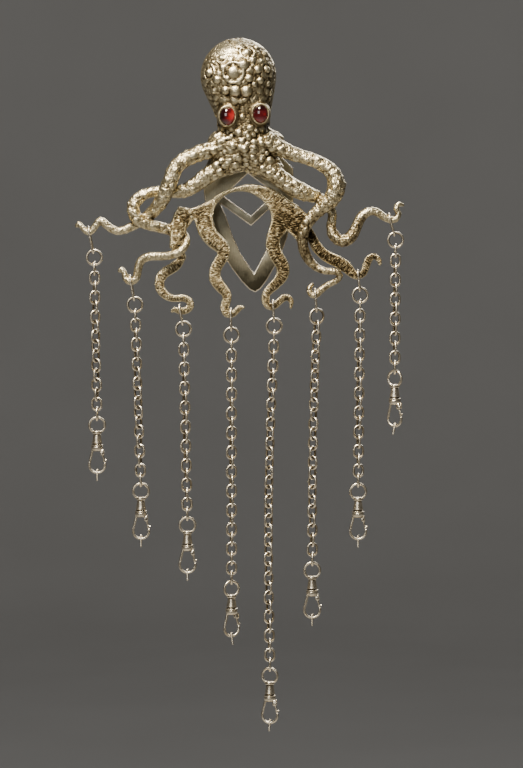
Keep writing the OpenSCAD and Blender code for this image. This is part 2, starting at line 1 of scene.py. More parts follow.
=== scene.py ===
# Chatelaine: the looks of the octopus belt hook, its stones, chains and swivel clips.
import json
import math
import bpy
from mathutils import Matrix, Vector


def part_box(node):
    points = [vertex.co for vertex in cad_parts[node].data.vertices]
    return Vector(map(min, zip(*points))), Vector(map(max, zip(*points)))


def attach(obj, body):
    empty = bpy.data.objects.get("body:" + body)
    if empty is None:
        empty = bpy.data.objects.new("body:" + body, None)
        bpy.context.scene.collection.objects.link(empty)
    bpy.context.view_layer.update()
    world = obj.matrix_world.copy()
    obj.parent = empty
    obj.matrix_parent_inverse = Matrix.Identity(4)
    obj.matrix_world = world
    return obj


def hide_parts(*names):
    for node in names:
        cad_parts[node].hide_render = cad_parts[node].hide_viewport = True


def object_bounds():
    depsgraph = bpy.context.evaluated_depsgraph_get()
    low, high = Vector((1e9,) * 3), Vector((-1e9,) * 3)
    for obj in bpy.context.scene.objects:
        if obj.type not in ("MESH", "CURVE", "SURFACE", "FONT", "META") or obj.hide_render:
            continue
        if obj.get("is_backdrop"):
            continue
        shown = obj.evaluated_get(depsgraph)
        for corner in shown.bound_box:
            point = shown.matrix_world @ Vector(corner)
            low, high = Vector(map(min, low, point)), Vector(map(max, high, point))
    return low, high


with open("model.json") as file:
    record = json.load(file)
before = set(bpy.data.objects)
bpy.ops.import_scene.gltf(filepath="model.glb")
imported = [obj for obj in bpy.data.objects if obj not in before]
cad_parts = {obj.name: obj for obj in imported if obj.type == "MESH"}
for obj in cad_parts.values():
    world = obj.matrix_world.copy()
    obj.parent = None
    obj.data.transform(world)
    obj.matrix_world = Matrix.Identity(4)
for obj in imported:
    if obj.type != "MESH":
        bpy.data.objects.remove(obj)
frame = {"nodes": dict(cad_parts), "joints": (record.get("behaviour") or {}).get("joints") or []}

from types import SimpleNamespace

import bmesh
import bpy
import numpy as np
from mathutils import Matrix, Vector
from mathutils.kdtree import KDTree

MM = 0.001
ARMS = range(1, 9)
ROOT = "hanger"
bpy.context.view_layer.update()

# The photograph's frame in millimetres of the object: its centre and height, the camera's distance and
# width of film, its elevation in degrees, and its clipping in metres
VIEW_CENTRE = (7.0, -8.0, -109.4)
VIEW_HEIGHT = 276.5
VIEW_DISTANCE = 1300
SENSOR = 36
VIEW_ELEVATION = 4
VIEW_CLIP = (0.01, 100)

# The casting's flat back and its foremost plane, in millimetres
BACK_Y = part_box("octopus")[1].y / MM
FRONT_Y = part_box("octopus")[0].y / MM
# Share kept of what the warts stand proud of the foremost plane
PROUD_SHARE = 0.5

# The eyes, with the painted glow of each stone, a painted light in its base colour, at its centre and its
# growth to the right and downward
EYES = {"eye_left": (0.44, 0.46, 0.2), "eye_right": (0.38, 0.12, 0.4)}

# Routes of the arms over the casting: [across, up, lift, width], where across and up are in
# millimetres, lift is the height of an arm's back above the casting's back, and width is the arm's
# own, both as shares of ARM_D. The rows run from the body to the tip.
ARM_D = 5
ARM_ROUTES = {
    1: [[-6.5, -23.8, 0.4, 1.3], [-16.2, -26.8, 0.5, 1.15], [-23, -30.6, 0.7, 1.14], [-25.5, -36, 0.8, 1.16],
        [-28, -42, 0.75, 1.14], [-31.9, -47.4, 0.3, 0.95], [-39.2, -52.6, 0, 0.7], [-45, -54.5, 0.1, 0.62],
        [-49, -52, 0.2, 0.62], [-51, -50.5, 0.2, 0.58], [-52.6, -52.4, 0.2, 0.54], [-54.9, -55.1, 0.2, 0.5],
        [-57.5, -53.1, 0.2, 0.4], [-58.6, -51.7, 0.2, 0.35], [-59.7, -52.8, 0.2, 0.22]],
    2: [[-7.6, -31.3, 0.2, 1.4], [-16.2, -37.4, 0.15, 1.16], [-20.5, -39.9, 0.05, 1.06],
        [-25.2, -40.5, 0, 0.88], [-30.6, -40.1, 0.05, 0.76], [-35, -41.2, 0.2, 0.85],
        [-38.2, -43.6, 0.35, 0.96], [-39.1, -46.8, 0.45, 0.95], [-37.4, -50.2, 0.5, 0.96],
        [-33.8, -52, 0.45, 0.83], [-29.5, -53.1, 0.2, 0.83], [-25.2, -54.2, 0, 0.8],
        [-21.4, -55.1, 0.1, 0.6], [-19.8, -57.6, 0.6, 0.52], [-20.9, -60.5, 1, 0.58],
        [-23.8, -62.5, 1.05, 0.64], [-28.4, -63.4, 0.7, 0.63], [-33.1, -63.5, 0.35, 0.66],
        [-36.3, -65, 0.2, 0.66], [-37.5, -68.4, 0.2, 0.62], [-37.9, -71, 0.2, 0.6], [-40, -72.7, 0.2, 0.6],
        [-41.9, -71.4, 0.2, 0.5], [-42.4, -69.4, 0.2, 0.4], [-43.5, -68, 0.2, 0.34],
        [-44.3, -69, 0.2, 0.22]],
    3: [[-21.8, -48.2, -0.25, 1.1], [-23.2, -56.4, 0.62, 1.05], [-23.2, -60.4, 0.45, 0.9],
        [-21.7, -64, 0.25, 0.62], [-24.3, -67.3, 0.3, 0.76], [-27.5, -69.1, 0.3, 0.78],
        [-29.5, -71.8, 0.3, 0.72], [-29.5, -74.9, 0.3, 0.7], [-27.7, -77.4, 0.3, 0.62],
        [-24.8, -78.7, 0.3, 0.54], [-21.6, -78.5, 0.3, 0.52], [-19.2, -79.3, 0.3, 0.54],
        [-18.5, -81.3, 0.3, 0.56], [-20, -82.9, 0.3, 0.54], [-22.3, -83.2, 0.3, 0.5],
        [-24.3, -82.7, 0.3, 0.36], [-25.4, -83.5, 0.3, 0.22]],
    4: [[-13.9, -47.9, -0.3, 1.2], [-12.7, -54.2, 0.12, 1.25], [-10.2, -57.6, 0.2, 1.2],
        [-7.4, -60, 0.3, 1.08], [-6.5, -62.6, 0.3, 0.94], [-8.1, -65.5, 0.3, 0.84], [-9.6, -68.4, 0.3, 0.84],
        [-9.7, -71.5, 0.3, 0.88], [-7.8, -74.4, 0.3, 0.84], [-5.8, -76.6, 0.3, 0.76], [-5.4, -79, 0.3, 0.64],
        [-6.3, -81.7, 0.3, 0.64], [-5.8, -84, 0.3, 0.54], [-4.1, -84.6, 0.3, 0.5], [-2.3, -83.5, 0.3, 0.48],
        [-1, -82.1, 0.3, 0.4], [0.6, -82, 0.3, 0.22]],
    5: [[13.2, -49.4, -0.25, 1.05], [11.9, -55.2, 0.12, 1], [11, -59, 0.2, 1.05], [12.2, -63, 0.3, 1.02],
        [14.2, -66.2, 0.3, 0.96], [14.8, -69.1, 0.3, 0.94], [13.5, -72, 0.3, 0.82], [11, -74.5, 0.3, 0.68],
        [8.9, -76.7, 0.3, 0.62], [8.4, -79.4, 0.3, 0.6], [9.5, -81.4, 0.3, 0.54], [11.2, -81.6, 0.3, 0.5],
        [13, -80.2, 0.3, 0.52], [14.9, -78.5, 0.3, 0.54], [16.8, -78.4, 0.3, 0.44], [17.8, -80.1, 0.3, 0.34],
        [17.5, -82.2, 0.3, 0.2]],
    6: [[8.5, -21.5, 0.4, 1.35], [15.5, -25.6, 0.4, 1.15], [20.9, -27.5, 0.5, 1], [26.3, -29.3, 0.55, 1],
        [31, -32, 0.55, 1.1], [33.5, -35.6, 0.55, 1.26], [33.7, -39.6, 0.55, 1.36],
        [31.7, -43.4, 0.55, 1.22], [27.9, -46.6, 0.5, 1], [24.7, -49.9, 0.45, 0.92],
        [22.6, -53.3, 0.45, 0.85], [21.8, -56.9, 0.4, 0.8], [22.1, -60.8, 0.3, 0.8],
        [23.9, -64.6, 0.2, 0.76], [26.8, -67.5, 0.3, 0.6], [30.2, -68.8, 0.5, 0.5], [33.5, -68.9, 0.5, 0.52],
        [35.3, -70.5, 0.5, 0.46], [33.7, -72.4, 0.4, 0.44], [30.8, -73.8, 0.2, 0.48],
        [28.4, -75.7, 0.2, 0.52], [26.4, -77.5, 0.2, 0.52], [24.7, -77, 0.2, 0.46], [24.1, -75.1, 0.2, 0.38],
        [25.5, -73.5, 0.2, 0.24]],
    7: [[21.4, -51, 0, 0.8], [24.8, -56.2, 0, 0.7], [26.8, -60.1, 0.05, 0.8], [30.2, -63.4, 0.1, 0.82],
        [34.2, -65.3, 0.1, 0.88], [37.4, -67.3, 0.2, 0.88], [39.6, -69.6, 0.25, 0.66],
        [41.8, -70.7, 0.25, 0.5], [43.8, -69.4, 0.25, 0.52], [44.8, -66.6, 0.25, 0.56],
        [45.9, -64.2, 0.25, 0.54], [47.8, -63.5, 0.25, 0.44], [49.4, -65, 0.25, 0.34],
        [49.6, -66.7, 0.25, 0.2]],
    8: [[7.2, -30.6, 0.2, 1.4], [16.5, -37.6, 0.15, 1.3], [21.6, -40.3, 0.15, 1.26], [25.9, -41.9, 0.05, 1],
        [30.2, -44.3, 0, 0.8], [32.5, -48.2, 0.05, 0.68], [32, -52.6, 0.1, 0.74], [33.1, -56.3, 0.15, 0.86],
        [36.2, -57.9, 0.15, 0.98], [39.1, -56.5, 0.15, 0.93], [40.9, -53.5, 0.15, 0.84],
        [42.5, -49.9, 0.15, 0.8], [45.2, -47.5, 0.15, 0.7], [48.2, -47.5, 0.15, 0.62],
        [50.6, -49.1, 0.15, 0.57], [53.3, -50.4, 0.15, 0.54], [55.4, -50, 0.15, 0.5],
        [56.3, -48.2, 0.15, 0.42], [55.4, -46.3, 0.15, 0.42], [56.3, -44.7, 0.15, 0.36],
        [58, -45.2, 0.15, 0.22]]}
ROUND_ARMS = (1, 2, 6, 8)
# Depth of the round and the flat arms as shares of their width
ROUND_DEPTH = 0.85
FLAT_DEPTH = 0.5

# The large warts of the head, the body and the flat arms: [across, up, radius] in millimetres. The
# ringed ones have a wire-thin ring round them.
RINGED_WARTS = [[-3.2, 2.6, 2.1], [2.3, 10, 1.5], [9.5, 3.8, 1.4], [-12.3, 2.6, 1.5], [-12.6, 4.9, 1],
                [-7.8, 8, 1.2]]
HEAD_WARTS = [[-7.2, 4.6, 1.3], [0.9, 5.4, 1.9], [6.4, 3.6, 1.5], [2.9, 0.6, 1.4], [-9.4, -0.6, 1.5],
              [-6.4, -4.6, 1.5], [-2.8, -4.7, 1.9], [1.9, -4.8, 2], [-10.4, -4.8, 1.2], [-10, -9, 0.8],
              [10.8, -5.2, 1.2], [8.8, 9.6, 1.5], [5.8, 11.8, 1.2], [10.8, 1.4, 1.1], [7.2, -0.8, 1.3],
              [10, -1.8, 1], [4.8, -2.4, 1.1], [-5.6, 0.2, 1.1], [-10.8, 6.4, 0.9], [0, -14, 0.9],
              [4.4, 7.4, 1.2], [7.6, 6.8, 1], [-13, -1, 0.9], [-0.6, -1.4, 1.1]]
BODY_WARTS = [[-8.6, -22, 1.4], [-0.4, -22.3, 1.3], [2.5, -20.9, 1.3], [7.2, -22.7, 1.2], [-3.6, -24.1, 1.5],
              [0.4, -25.2, 1.7], [-10.4, -25.6, 1.3], [-7.9, -29.2, 1.1], [-5.4, -30.6, 1.2],
              [1.1, -31, 1.3], [7.2, -29.2, 1.1], [9.4, -27, 1.2], [4.2, -28.2, 1.1], [-2.4, -28.4, 1],
              [-6.6, -26.6, 1], [4.9, -24.6, 1.1], [-5.6, -20.8, 1], [9.9, -20.2, 1.1], [5.8, -18.8, 1],
              [-8.8, -19, 1]]
FLAT_WARTS = [[-13.3, -50, 1.1], [-30.2, -73.8, 1.2]]


def place(across, up, above):
    """A point above the casting's back, in millimetres of the frame."""
    return np.array([across, BACK_Y - above, up])


def smooth_route(rows, steps):
    """A smooth curve through a route's rows, with steps points from each row to the next."""
    rows = np.array(rows, float)
    last = len(rows) - 1
    made = []
    for i in range(last):
        a, b, c, d = (rows[min(max(i + k, 0), last)] for k in (-1, 0, 1, 2))
        for t in np.arange(steps) / steps:
            made.append(0.5 * (2 * b + (c - a) * t + (2 * a - 5 * b + 4 * c - d) * t ** 2
                               + (3 * b - a - 3 * c + d) * t ** 3))
    made.append(rows[last])
    return np.array(made)


# Points from one row of a route to the next, and the columns of an arm's sample
ARM_STEPS = 6
HALF_W, DEPTH, RUN, LENGTH, NUMBER = 3, 4, 8, 9, 10
AHEAD = slice(5, 8)


def arm_samples():
    """Points along all the arms: centre, half width, depth share, forward direction, distance from the
    body, the arm's whole length and the arm's number."""
    made = []
    for n in ARMS:
        rows = smooth_route(ARM_ROUTES[n], ARM_STEPS)
        depth = ROUND_DEPTH if n in ROUND_ARMS else FLAT_DEPTH
        centres = np.array([place(x, z, (lift + width * depth / 2) * ARM_D) for x, z, lift, width in rows])
        ahead = np.gradient(centres, axis=0)
        ahead /= np.linalg.norm(ahead, axis=1)[:, None]
        run = np.concatenate([[0], np.cumsum(np.linalg.norm(np.diff(centres, axis=0), axis=1))])
        for i, row in enumerate(rows):
            made.append([*centres[i], row[3] * ARM_D / 2, depth, *ahead[i], run[i], run[-1], n])
    return np.array(made)


# Points that are compared with the arms at one time, and the least length that is divided by
CHUNK = 8000
TINY = 1e-6


def nearest_arm(points, samples):
    """For each point: the nearest arm sample, its closeness (1 on the arm's surface), the distance along
    the arm and the share across it, from -1 to 1."""
    found = np.zeros(len(points), int)
    close = np.zeros(len(points))
    half, depth = samples[:, HALF_W], samples[:, DEPTH]
    for start in range(0, len(points), CHUNK):
        gap = points[start:start + CHUNK, None, :] - samples[None, :, :3]
        reach = (gap[..., 0] ** 2 + gap[..., 2] ** 2) / half ** 2 + (gap[..., 1] / (half * depth)) ** 2
        best = reach.argmin(axis=1)
        found[start:start + CHUNK] = best
        close[start:start + CHUNK] = np.sqrt(reach[np.arange(len(best)), best])
    picked = samples[found]
    gap = points - picked[:, :3]
    ahead = picked[:, AHEAD]
    along = picked[:, RUN] + (gap * ahead).sum(axis=1)
    side = np.stack([-ahead[:, 2], np.zeros(len(ahead)), ahead[:, 0]], axis=1)
    side /= np.maximum(np.linalg.norm(side, axis=1), TINY)[:, None]
    across = (gap * side).sum(axis=1) / picked[:, HALF_W]
    return picked, close, along, across


def new_object(name, mesh):
    piece = bpy.data.objects.new(name, mesh)
    bpy.context.scene.collection.objects.link(piece)
    return piece


def array_of(elements, key, width, kind=float):
    """A property of a mesh's elements as rows of an array."""
    values = np.zeros(len(elements) * width, kind)
    elements.foreach_get(key, values)
    return values.reshape(-1, width)


def set_points(mesh, points):
    """Moves a mesh's vertices to the given points and returns their new normals."""
    mesh.vertices.foreach_set("co", points.ravel())
    mesh.update()
    return array_of(mesh.vertex_normals, "vector", 3)


def neighbour_mean(values, edges):
    """The mean of each vertex's neighbours."""
    total = np.zeros_like(values)
    count = np.zeros(len(values))
    for a, b in ((0, 1), (1, 0)):
        np.add.at(total, edges[:, a], values[edges[:, b]])
        np.add.at(count, edges[:, a], 1)
    count = np.maximum(count, 1)
    return total / (count[:, None] if values.ndim == 2 else count)


def ramp(value, low, high):
    """0 below low, 1 above high and smooth between them."""
    t = np.clip((value - low) / (high - low), 0, 1)
    return t * t * (3 - 2 * t)


def loose_parts(bm):
    """The vertices of each loose part."""
    todo, parts = set(bm.verts), []
    while todo:
        stack = [todo.pop()]
        part = []
        while stack:
            vertex = stack.pop()
            part.append(vertex)
            for edge in vertex.link_edges:
                other = edge.other_vert(vertex)
                if other in todo:
                    todo.remove(other)
                    stack.append(other)
        parts.append(part)
    return parts


def drop_crumbs(mesh):
    """Deletes all loose parts but the largest: rebuilding leaves a crumb in the casting."""
    bm = bmesh.new()
    bm.from_mesh(mesh)
    parts = sorted(loose_parts(bm), key=len)
    bmesh.ops.delete(bm, geom=[vertex for part in parts[:-1] for vertex in part], context="VERTS")
    bm.to_mesh(mesh)
    bm.free()


def node_copy(node_name):
    """A copy of a CAD node's mesh in millimetres."""
    mesh = frame["nodes"][node_name].data.copy()
    mesh.transform(Matrix.Scale(1 / MM, 4))
    return mesh


def make_even(piece, voxel):
    """Rebuilds a piece with even faces of about the given size."""
    remesh = piece.modifiers.new("even", "REMESH")
    remesh.mode = "VOXEL"
    remesh.voxel_size = voxel
    graph = bpy.context.evaluated_depsgraph_get()
    mesh = bpy.data.meshes.new_from_object(piece.evaluated_get(graph))
    old = piece.data
    piece.modifiers.clear()
    piece.data = mesh
    bpy.data.meshes.remove(old)


# Size of the casting's even faces in millimetres, and how it is smoothed
SKIN_VOXEL = 0.36
SMOOTH_ROUNDS = 4
SMOOTH_WEIGHTS = (0.5, -0.52)
# Fillets in sharp inner corners: passes, rounds in each pass, and the least and greatest depth filled
FILLET_PASSES = 3
FILLET_ROUNDS = 14
FILLET_FROM = 0.04
FILLET_MOST = 0.6
# Heights over the flat back from which the skin is smoothed and filled, in millimetres
SMOOTH_ABOVE = 0.3
FILLET_ABOVE = 0.5


def even_out(points, edges, movable):
    """Smooths the movable points without shrinking the thin forms."""
    for _ in range(SMOOTH_ROUNDS):
        for weight in SMOOTH_WEIGHTS:
            mean = neighbour_mean(points, edges)
            points[movable] += weight * (mean - points)[movable]


def soften_creases(mesh, points, edges):
    """Fills sharp inner corners with the soft fillets that a casting has."""
    normals = set_points(mesh, points)
    smooth = points.copy()
    for _ in range(FILLET_ROUNDS):
        smooth = neighbour_mean(smooth, edges)
    depth = ((smooth - points) * normals).sum(axis=1)
    depth = neighbour_mean(np.clip(depth - FILLET_FROM, 0, FILLET_MOST), edges)
    points += normals * (depth * (points[:, 1] < BACK_Y - FILLET_ABOVE))[:, None]


# The web's opening: its middle, the arch's width, the radii where its change fades out, and how much wider
# it gets: [degrees round the middle, inward, outward], in millimetres
OPENING = (0.1, -50.6)
ARCH_WIDTH = 1.6
ARCH_END = (14.2, 17.0)
ARCH_WIDER = [[0, 0, 0], [12, 0, 0], [30, 0.5, 0], [60, 0.9, 0], [90, 0.7, 0.1], [112, 0.4, 0.4],
              [126, 0.2, 1.0], [140, 0.1, 1.3], [152, 0, 0.8], [172, 0, 0], [180, 0, 0]]
# Sectors of half a turn in which the opening's edge is measured
ARCH_SECTORS = 90
SECTOR = 180 / ARCH_SECTORS


def widen_arch(points):
    """Widens the thin arch over the opening, inward on its right and outward on its left."""
    x, z = points[:, 0] - OPENING[0], points[:, 2] - OPENING[1]
    r = np.hypot(x, z)
    angle = np.degrees(np.arctan2(z, x))
    sector = np.clip(angle / SECTOR, 0, ARCH_SECTORS - 1).astype(int)
    inner = np.full(ARCH_SECTORS, r.max())
    over = angle > 0
    np.minimum.at(inner, sector[over], r[over])
    middles = (np.arange(ARCH_SECTORS) + 0.5) * SECTOR
    share = np.clip((r - np.interp(angle, middles, inner)) / ARCH_WIDTH, 0, 1)
    degrees, inward, outward = np.array(ARCH_WIDER).T
    shift = np.interp(angle, degrees, outward) * share - np.interp(angle, degrees, inward) * (1 - share)
    shift *= over * (1 - ramp(r, *ARCH_END))
    points[:, 0] += shift * x / r
    points[:, 2] += shift * z / r


# The body: its low end, its half width, and how much of each arm belongs to it, in millimetres
BODY_LOW = -34.5
BODY_HALF_W = 15
ARM_ROOT = 9
# Where an arm's surface ends: half widths from its course, and distance behind its first row
ARM_CLOSE = 1.45
ARM_BEHIND = -1
# Spans of the normal's turn and of the height over the back in which the relief grows
FACING_TURN = (-0.3, 0.25)
FACING_ABOVE = (0.4, 1.4)


def skin_regions(points, normals):
    """The regions of the casting and each point's place along and across its arm."""
    picked, close, along, across = nearest_arm(points, arm_samples())
    x, z = points[:, 0], points[:, 2]
    number = picked[:, NUMBER].astype(int)
    is_round = np.isin(number, ROUND_ARMS)
    on_arm = (close < ARM_CLOSE) & (along > ARM_BEHIND)
    body = (z > BODY_LOW) & (np.abs(x) < BODY_HALF_W) & ~(on_arm & (along > ARM_ROOT))
    facing = ramp(-normals[:, 1], *FACING_TURN) * ramp(BACK_Y - points[:, 1], *FACING_ABOVE)
    return SimpleNamespace(
        number=number, along=along, across=across, half_w=picked[:, HALF_W], length=picked[:, LENGTH],
        body=body, arm=on_arm & ~body, round_arm=is_round & on_arm & ~body,
        flat_arm=~is_round & on_arm & ~body, web=~on_arm & ~body, facing=facing)


# Bare ovals round the eyes and on the crown: middle and half sizes in millimetres, and where they fade
EYE_PATCH = (4.0, 4.6)
EYE_FADE = (0.85, 1.1)
CROWN_AT = (-6.8, 10.8)
CROWN_PATCH = (3.6, 3.0)
CROWN_FADE = (0.75, 1.1)
# The plain brow between the eyes: its middle, and where it fades across and up
BROW_AT = (0.7, -12.8)
BROW_ACROSS = (8.5, 10.5)
BROW_UP = (3.4, 5.2)


def oval(points, middle, half, fade):
    """1 inside an oval of the casting's front and 0 beyond it."""
    across, up = (points[:, 0] - middle[0]) / half[0], (points[:, 2] - middle[1]) / half[1]
    return 1 - ramp(np.hypot(across, up), *fade)


def mark_bare(points, skin):
    """Marks the plain skin round the eyes, on the crown and on the brow."""
    skin.eyes = np.zeros(len(points))
    for node_name in EYES:
        low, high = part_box(node_name)
        centre = (np.array(low) + np.array(high)) / 2 / MM
        skin.eyes = np.maximum(skin.eyes, oval(points, centre[[0, 2]], EYE_PATCH, EYE_FADE))
    skin.crown = oval(points, CROWN_AT, CROWN_PATCH, CROWN_FADE) * skin.facing
    skin.bare = np.maximum(skin.eyes, skin.crown)
    up = 1 - ramp(np.abs(points[:, 2] - BROW_AT[1]), *BROW_UP)
    skin.brow = up * (1 - ramp(np.abs(points[:, 0] - BROW_AT[0]), *BROW_ACROSS)) * skin.facing


def scatter(points, region, radius, gap, seed):
    """Picks points of the region at random, each at least gap radii from the ones before it."""
    rng = np.random.default_rng(seed)
    order = rng.permutation(np.flatnonzero(region))
    centres, radii = [], []
    cell = {}
    size = 2 * float(radius.max())
    for i in order:
        p, r = points[i], radius[i]
        key = tuple((p // size).astype(int))
        near = [j for dx in (-1, 0, 1) for dy in (-1, 0, 1) for dz in (-1, 0, 1)
                for j in cell.get((key[0] + dx, key[1] + dy, key[2] + dz), ())]
        if any(np.linalg.norm(p - centres[j]) < gap * (r + radii[j]) for j in near):
            continue
        cell.setdefault(key, []).append(len(centres))
        centres.append(p)
        radii.append(r)
    return np.array(centres), np.array(radii)


# Rise of the large warts and of the rings in radii, steepness of a wart, and where its ring lies, in radii
LARGE_RISE = 0.55
RING_RISE = 0.26
WART_POWER = 1.15
RING_FROM, RING_TO = 1.25, 1.75


def add_domes(height, tree, centres, radii, rise, ring=False):
    """Raises a rounded wart at each centre, and a thin ring beyond it if asked."""
    for centre, r in zip(centres, radii):
        for _, i, distance in tree.find_range(centre, r * (RING_TO if ring else 1)):
            t = distance / r
            if t < 1:
                height[i] = max(height[i], rise * r * (1 - t * t) ** WART_POWER)
            elif ring and t > RING_FROM:
                share = (t - RING_FROM) / (RING_TO - RING_FROM)
                height[i] = max(height[i], RING_RISE * r * math.sin(math.pi * share))


# Half size of the place where the foremost point is looked for, and a plane ahead of the casting
NEAR = 0.5
AHEAD_Y = -10


def on_front(points, tree, rows, growth=1.0):
    """The front surface's points at the rows' [across, up] places, and the rows' radii times growth."""
    centres = []
    for across, up, _ in rows:
        near = (np.abs(points[:, 0] - across) < NEAR) & (np.abs(points[:, 2] - up) < NEAR)
        candidates = points[near] if near.any() else points[[tree.find((across, AHEAD_Y, up))[1]]]
        centres.append(candidates[candidates[:, 1].argmin()])
    return np.array(centres), np.array([row[2] for row in rows]) * growth


# Growth of the head's large warts, seed and spread of the small warts' sizes, and the head's low end
HEAD_GROWTH = 1.17
JITTER_SEED = 11
JITTER = (0.75, 1.3)
HEAD_LOW = -12
# Small warts: [radius in millimetres, gap in radii, seed, rise as a share of the radius]
HEAD_SMALL = (1.45, 1.16, 21, 0.24)
BODY_SMALL = (1.4, 0.98, 23, 0.38)
FINE = (0.8, 1.08, 22, 0.2)
# Lumps of the round arms: radii at shares of the arm's length, the last share, then gap, seed and rise
LUMP_AT = (0, 0.2, 0.5, 1)
LUMP_R = (1.45, 1.4, 1.0, 0.8)
LUMPS_END = 0.6
LUMP_RULE = (1.1, 31, 0.27)
# Where small warts stand: least turn to the front, most of a bare patch and of the brow, and the height
# of other warts below which a place is free
BODY_FACING, ARM_FACING = 0.4, 0.15
MOST_BARE, MOST_BROW = 0.1, 0.4
FREE, FINE_FREE = 0.1, 0.05


def wart_heights(points, skin):
    """The height of the warts at each point: large ones first, then small ones between them."""
    tree = KDTree(len(points))
    for i, p in enumerate(points):
        tree.insert(p, i)
    tree.balance()
    height = np.zeros(len(points))
    add_domes(height, tree, *on_front(points, tree, RINGED_WARTS, HEAD_GROWTH), LARGE_RISE, ring=True)
    add_domes(height, tree, *on_front(points, tree, HEAD_WARTS, HEAD_GROWTH), LARGE_RISE)
    add_domes(height, tree, *on_front(points, tree, BODY_WARTS), LARGE_RISE)
    jitter = np.random.default_rng(JITTER_SEED).uniform(*JITTER, len(points))

    def strew(region, radius, gap, seed, rise):
        """Raises small warts at random places of a region."""
        add_domes(height, tree, *scatter(points, region, radius * jitter, gap, seed), rise)

    head = points[:, 2] > HEAD_LOW
    plain = (skin.bare < MOST_BARE) & (skin.facing > BODY_FACING) & (skin.brow < MOST_BROW)
    strew(skin.body & plain & head & (height < FREE), *HEAD_SMALL)
    strew(skin.body & plain & ~head & (height < FREE), *BODY_SMALL)
    strew(skin.body & plain & (height < FINE_FREE), *FINE)
    share = np.clip(skin.along / skin.length, 0, 1)
    lumpy = skin.round_arm & (height < FINE_FREE) & (skin.facing > ARM_FACING) & (share < LUMPS_END)
    strew(lumpy, np.interp(share, LUMP_AT, LUMP_R), *LUMP_RULE)
    add_domes(height, tree, *on_front(points, tree, FLAT_WARTS), LARGE_RISE)
    return height


# Raised rims: spans of the normal's turn where they begin and end, and of the height where they grow,
# and their strength on the web
RIM_BEGIN = (0.1, 0.35)
RIM_END = (0.6, 0.82)
RIM_ABOVE = (0.5, 1.2)
WEB_RIM = 0.6


def raised_rims(points, normals, edges, skin):
    """1 along the edges of the flat arms, and less along the web's."""
    turn = -neighbour_mean(normals, edges)[:, 1]
    rim = (skin.flat_arm + WEB_RIM * skin.web) * ramp(turn, *RIM_BEGIN) * (1 - ramp(turn, *RIM_END))
    return rim * ramp(BACK_Y - points[:, 1], *RIM_ABOVE)


# Height of the grain in millimetres, and its seed and rounds of smoothing
GRAIN_RISE = 0.035
GRAIN_SEED = 41
GRAIN_ROUNDS = 2


def grain_field(count, edges):
    """Random values that are smooth over a few neighbouring points, between about -1 and 1."""
    values = np.random.default_rng(GRAIN_SEED).normal(size=count)
    for _ in range(GRAIN_ROUNDS):
        values = (values + neighbour_mean(values, edges)) / 2
    return values / (2 * values.std())


# Heights in millimetres of the rims and the slim arms, and how far the surface between the warts is taken
# back
RIM_RISE = 0.2
SLIM_RISE = 0.1
RELIEF_BASE = 0.16
# Half widths of an arm in which its relief grows to the full, the least share, and where it counts as slim
FULL_HALF_W = 2.6
LEAST_RELIEF = 0.15
SLIM_SPAN = (0.7, 1.7)


def raise_skin(points, normals, edges, skin, height, rim):
    """Moves the points out by the relief, and holds back what stands proud of the foremost plane."""
    thick = np.clip(skin.half_w / FULL_HALF_W, LEAST_RELIEF, 1)
    relief = (height - RELIEF_BASE * (skin.body | skin.round_arm)) * (1 - skin.bare)
    relief += GRAIN_RISE * grain_field(len(points), edges) * (1 - skin.eyes)
    relief = (relief + RIM_RISE * rim) * np.where(skin.body, 1, thick)
    slim = SLIM_RISE * (1 - ramp(skin.half_w, *SLIM_SPAN)) * skin.arm
    points += normals * (relief * skin.facing + slim)[:, None]
    proud = np.maximum(FRONT_Y - points[:, 1], 0)
    points[:, 1] += proud * (1 - PROUD_SHARE)


# Depth, which the shader shows as patina in the fine hollows and as painted shade over the larger scales:
# [rounds of smoothing, weight], the level of flat skin and the gain per millimetre
CAVITY_SCALES = ((2, 2.0), (7, 1.3), (24, 0.55))
CAVITY_LEVEL = 0.36
CAVITY_GAIN = 0.82


def patina_and_shade(points, normals, edges):
    """How deep each point lies in its surroundings, from 0 on ridges to 1 in crevices. It darkens the
    silver: patina in the fine hollows, and painted shade, standing in for occlusion, over the larger scales.
    """
    depth = np.zeros(len(points))
    smooth = points.copy()
    done = 0
    for rounds, weight in CAVITY_SCALES:
        while done < rounds:
            smooth = neighbour_mean(smooth, edges)
            done += 1
        depth += weight * ((smooth - points) * normals).sum(axis=1)
    return np.clip(CAVITY_LEVEL + CAVITY_GAIN * depth, 0, 1)


# Darkness added on the brow, round the eyes and on flat skin, and the share that bare skin loses
BROW_DARK = 0.16
EYE_DARK = 0.34
FLAT_DARK = 0.21
BARE_LIGHT = 0.4
# Painted shade: how much darker the lower arms are, and those on the right, as if the light from the upper
# left fell off downward and across, and the spans where that grows
LOW_PAINTED_SHADE = 0.1
LOW_SHADE_SPAN = (40, 58)
RIGHT_PAINTED_SHADE = 0.22
RIGHT_SHADE_SPAN = (0, 20)
# Middle and mean radius of the web, and the distance that keeps the arms' strokes apart
WEB_UP = -50
WEB_R = 14
ARM_APART = 40
# How much the strokes weaken on a rim and the scales on a wart of these heights, and the crown's rim
STROKES_ON_RIM = 0.8
SCALES_ON_WART = 0.8
WART_SPAN = (0.15, 0.55)
CROWN_RIM = 0.5


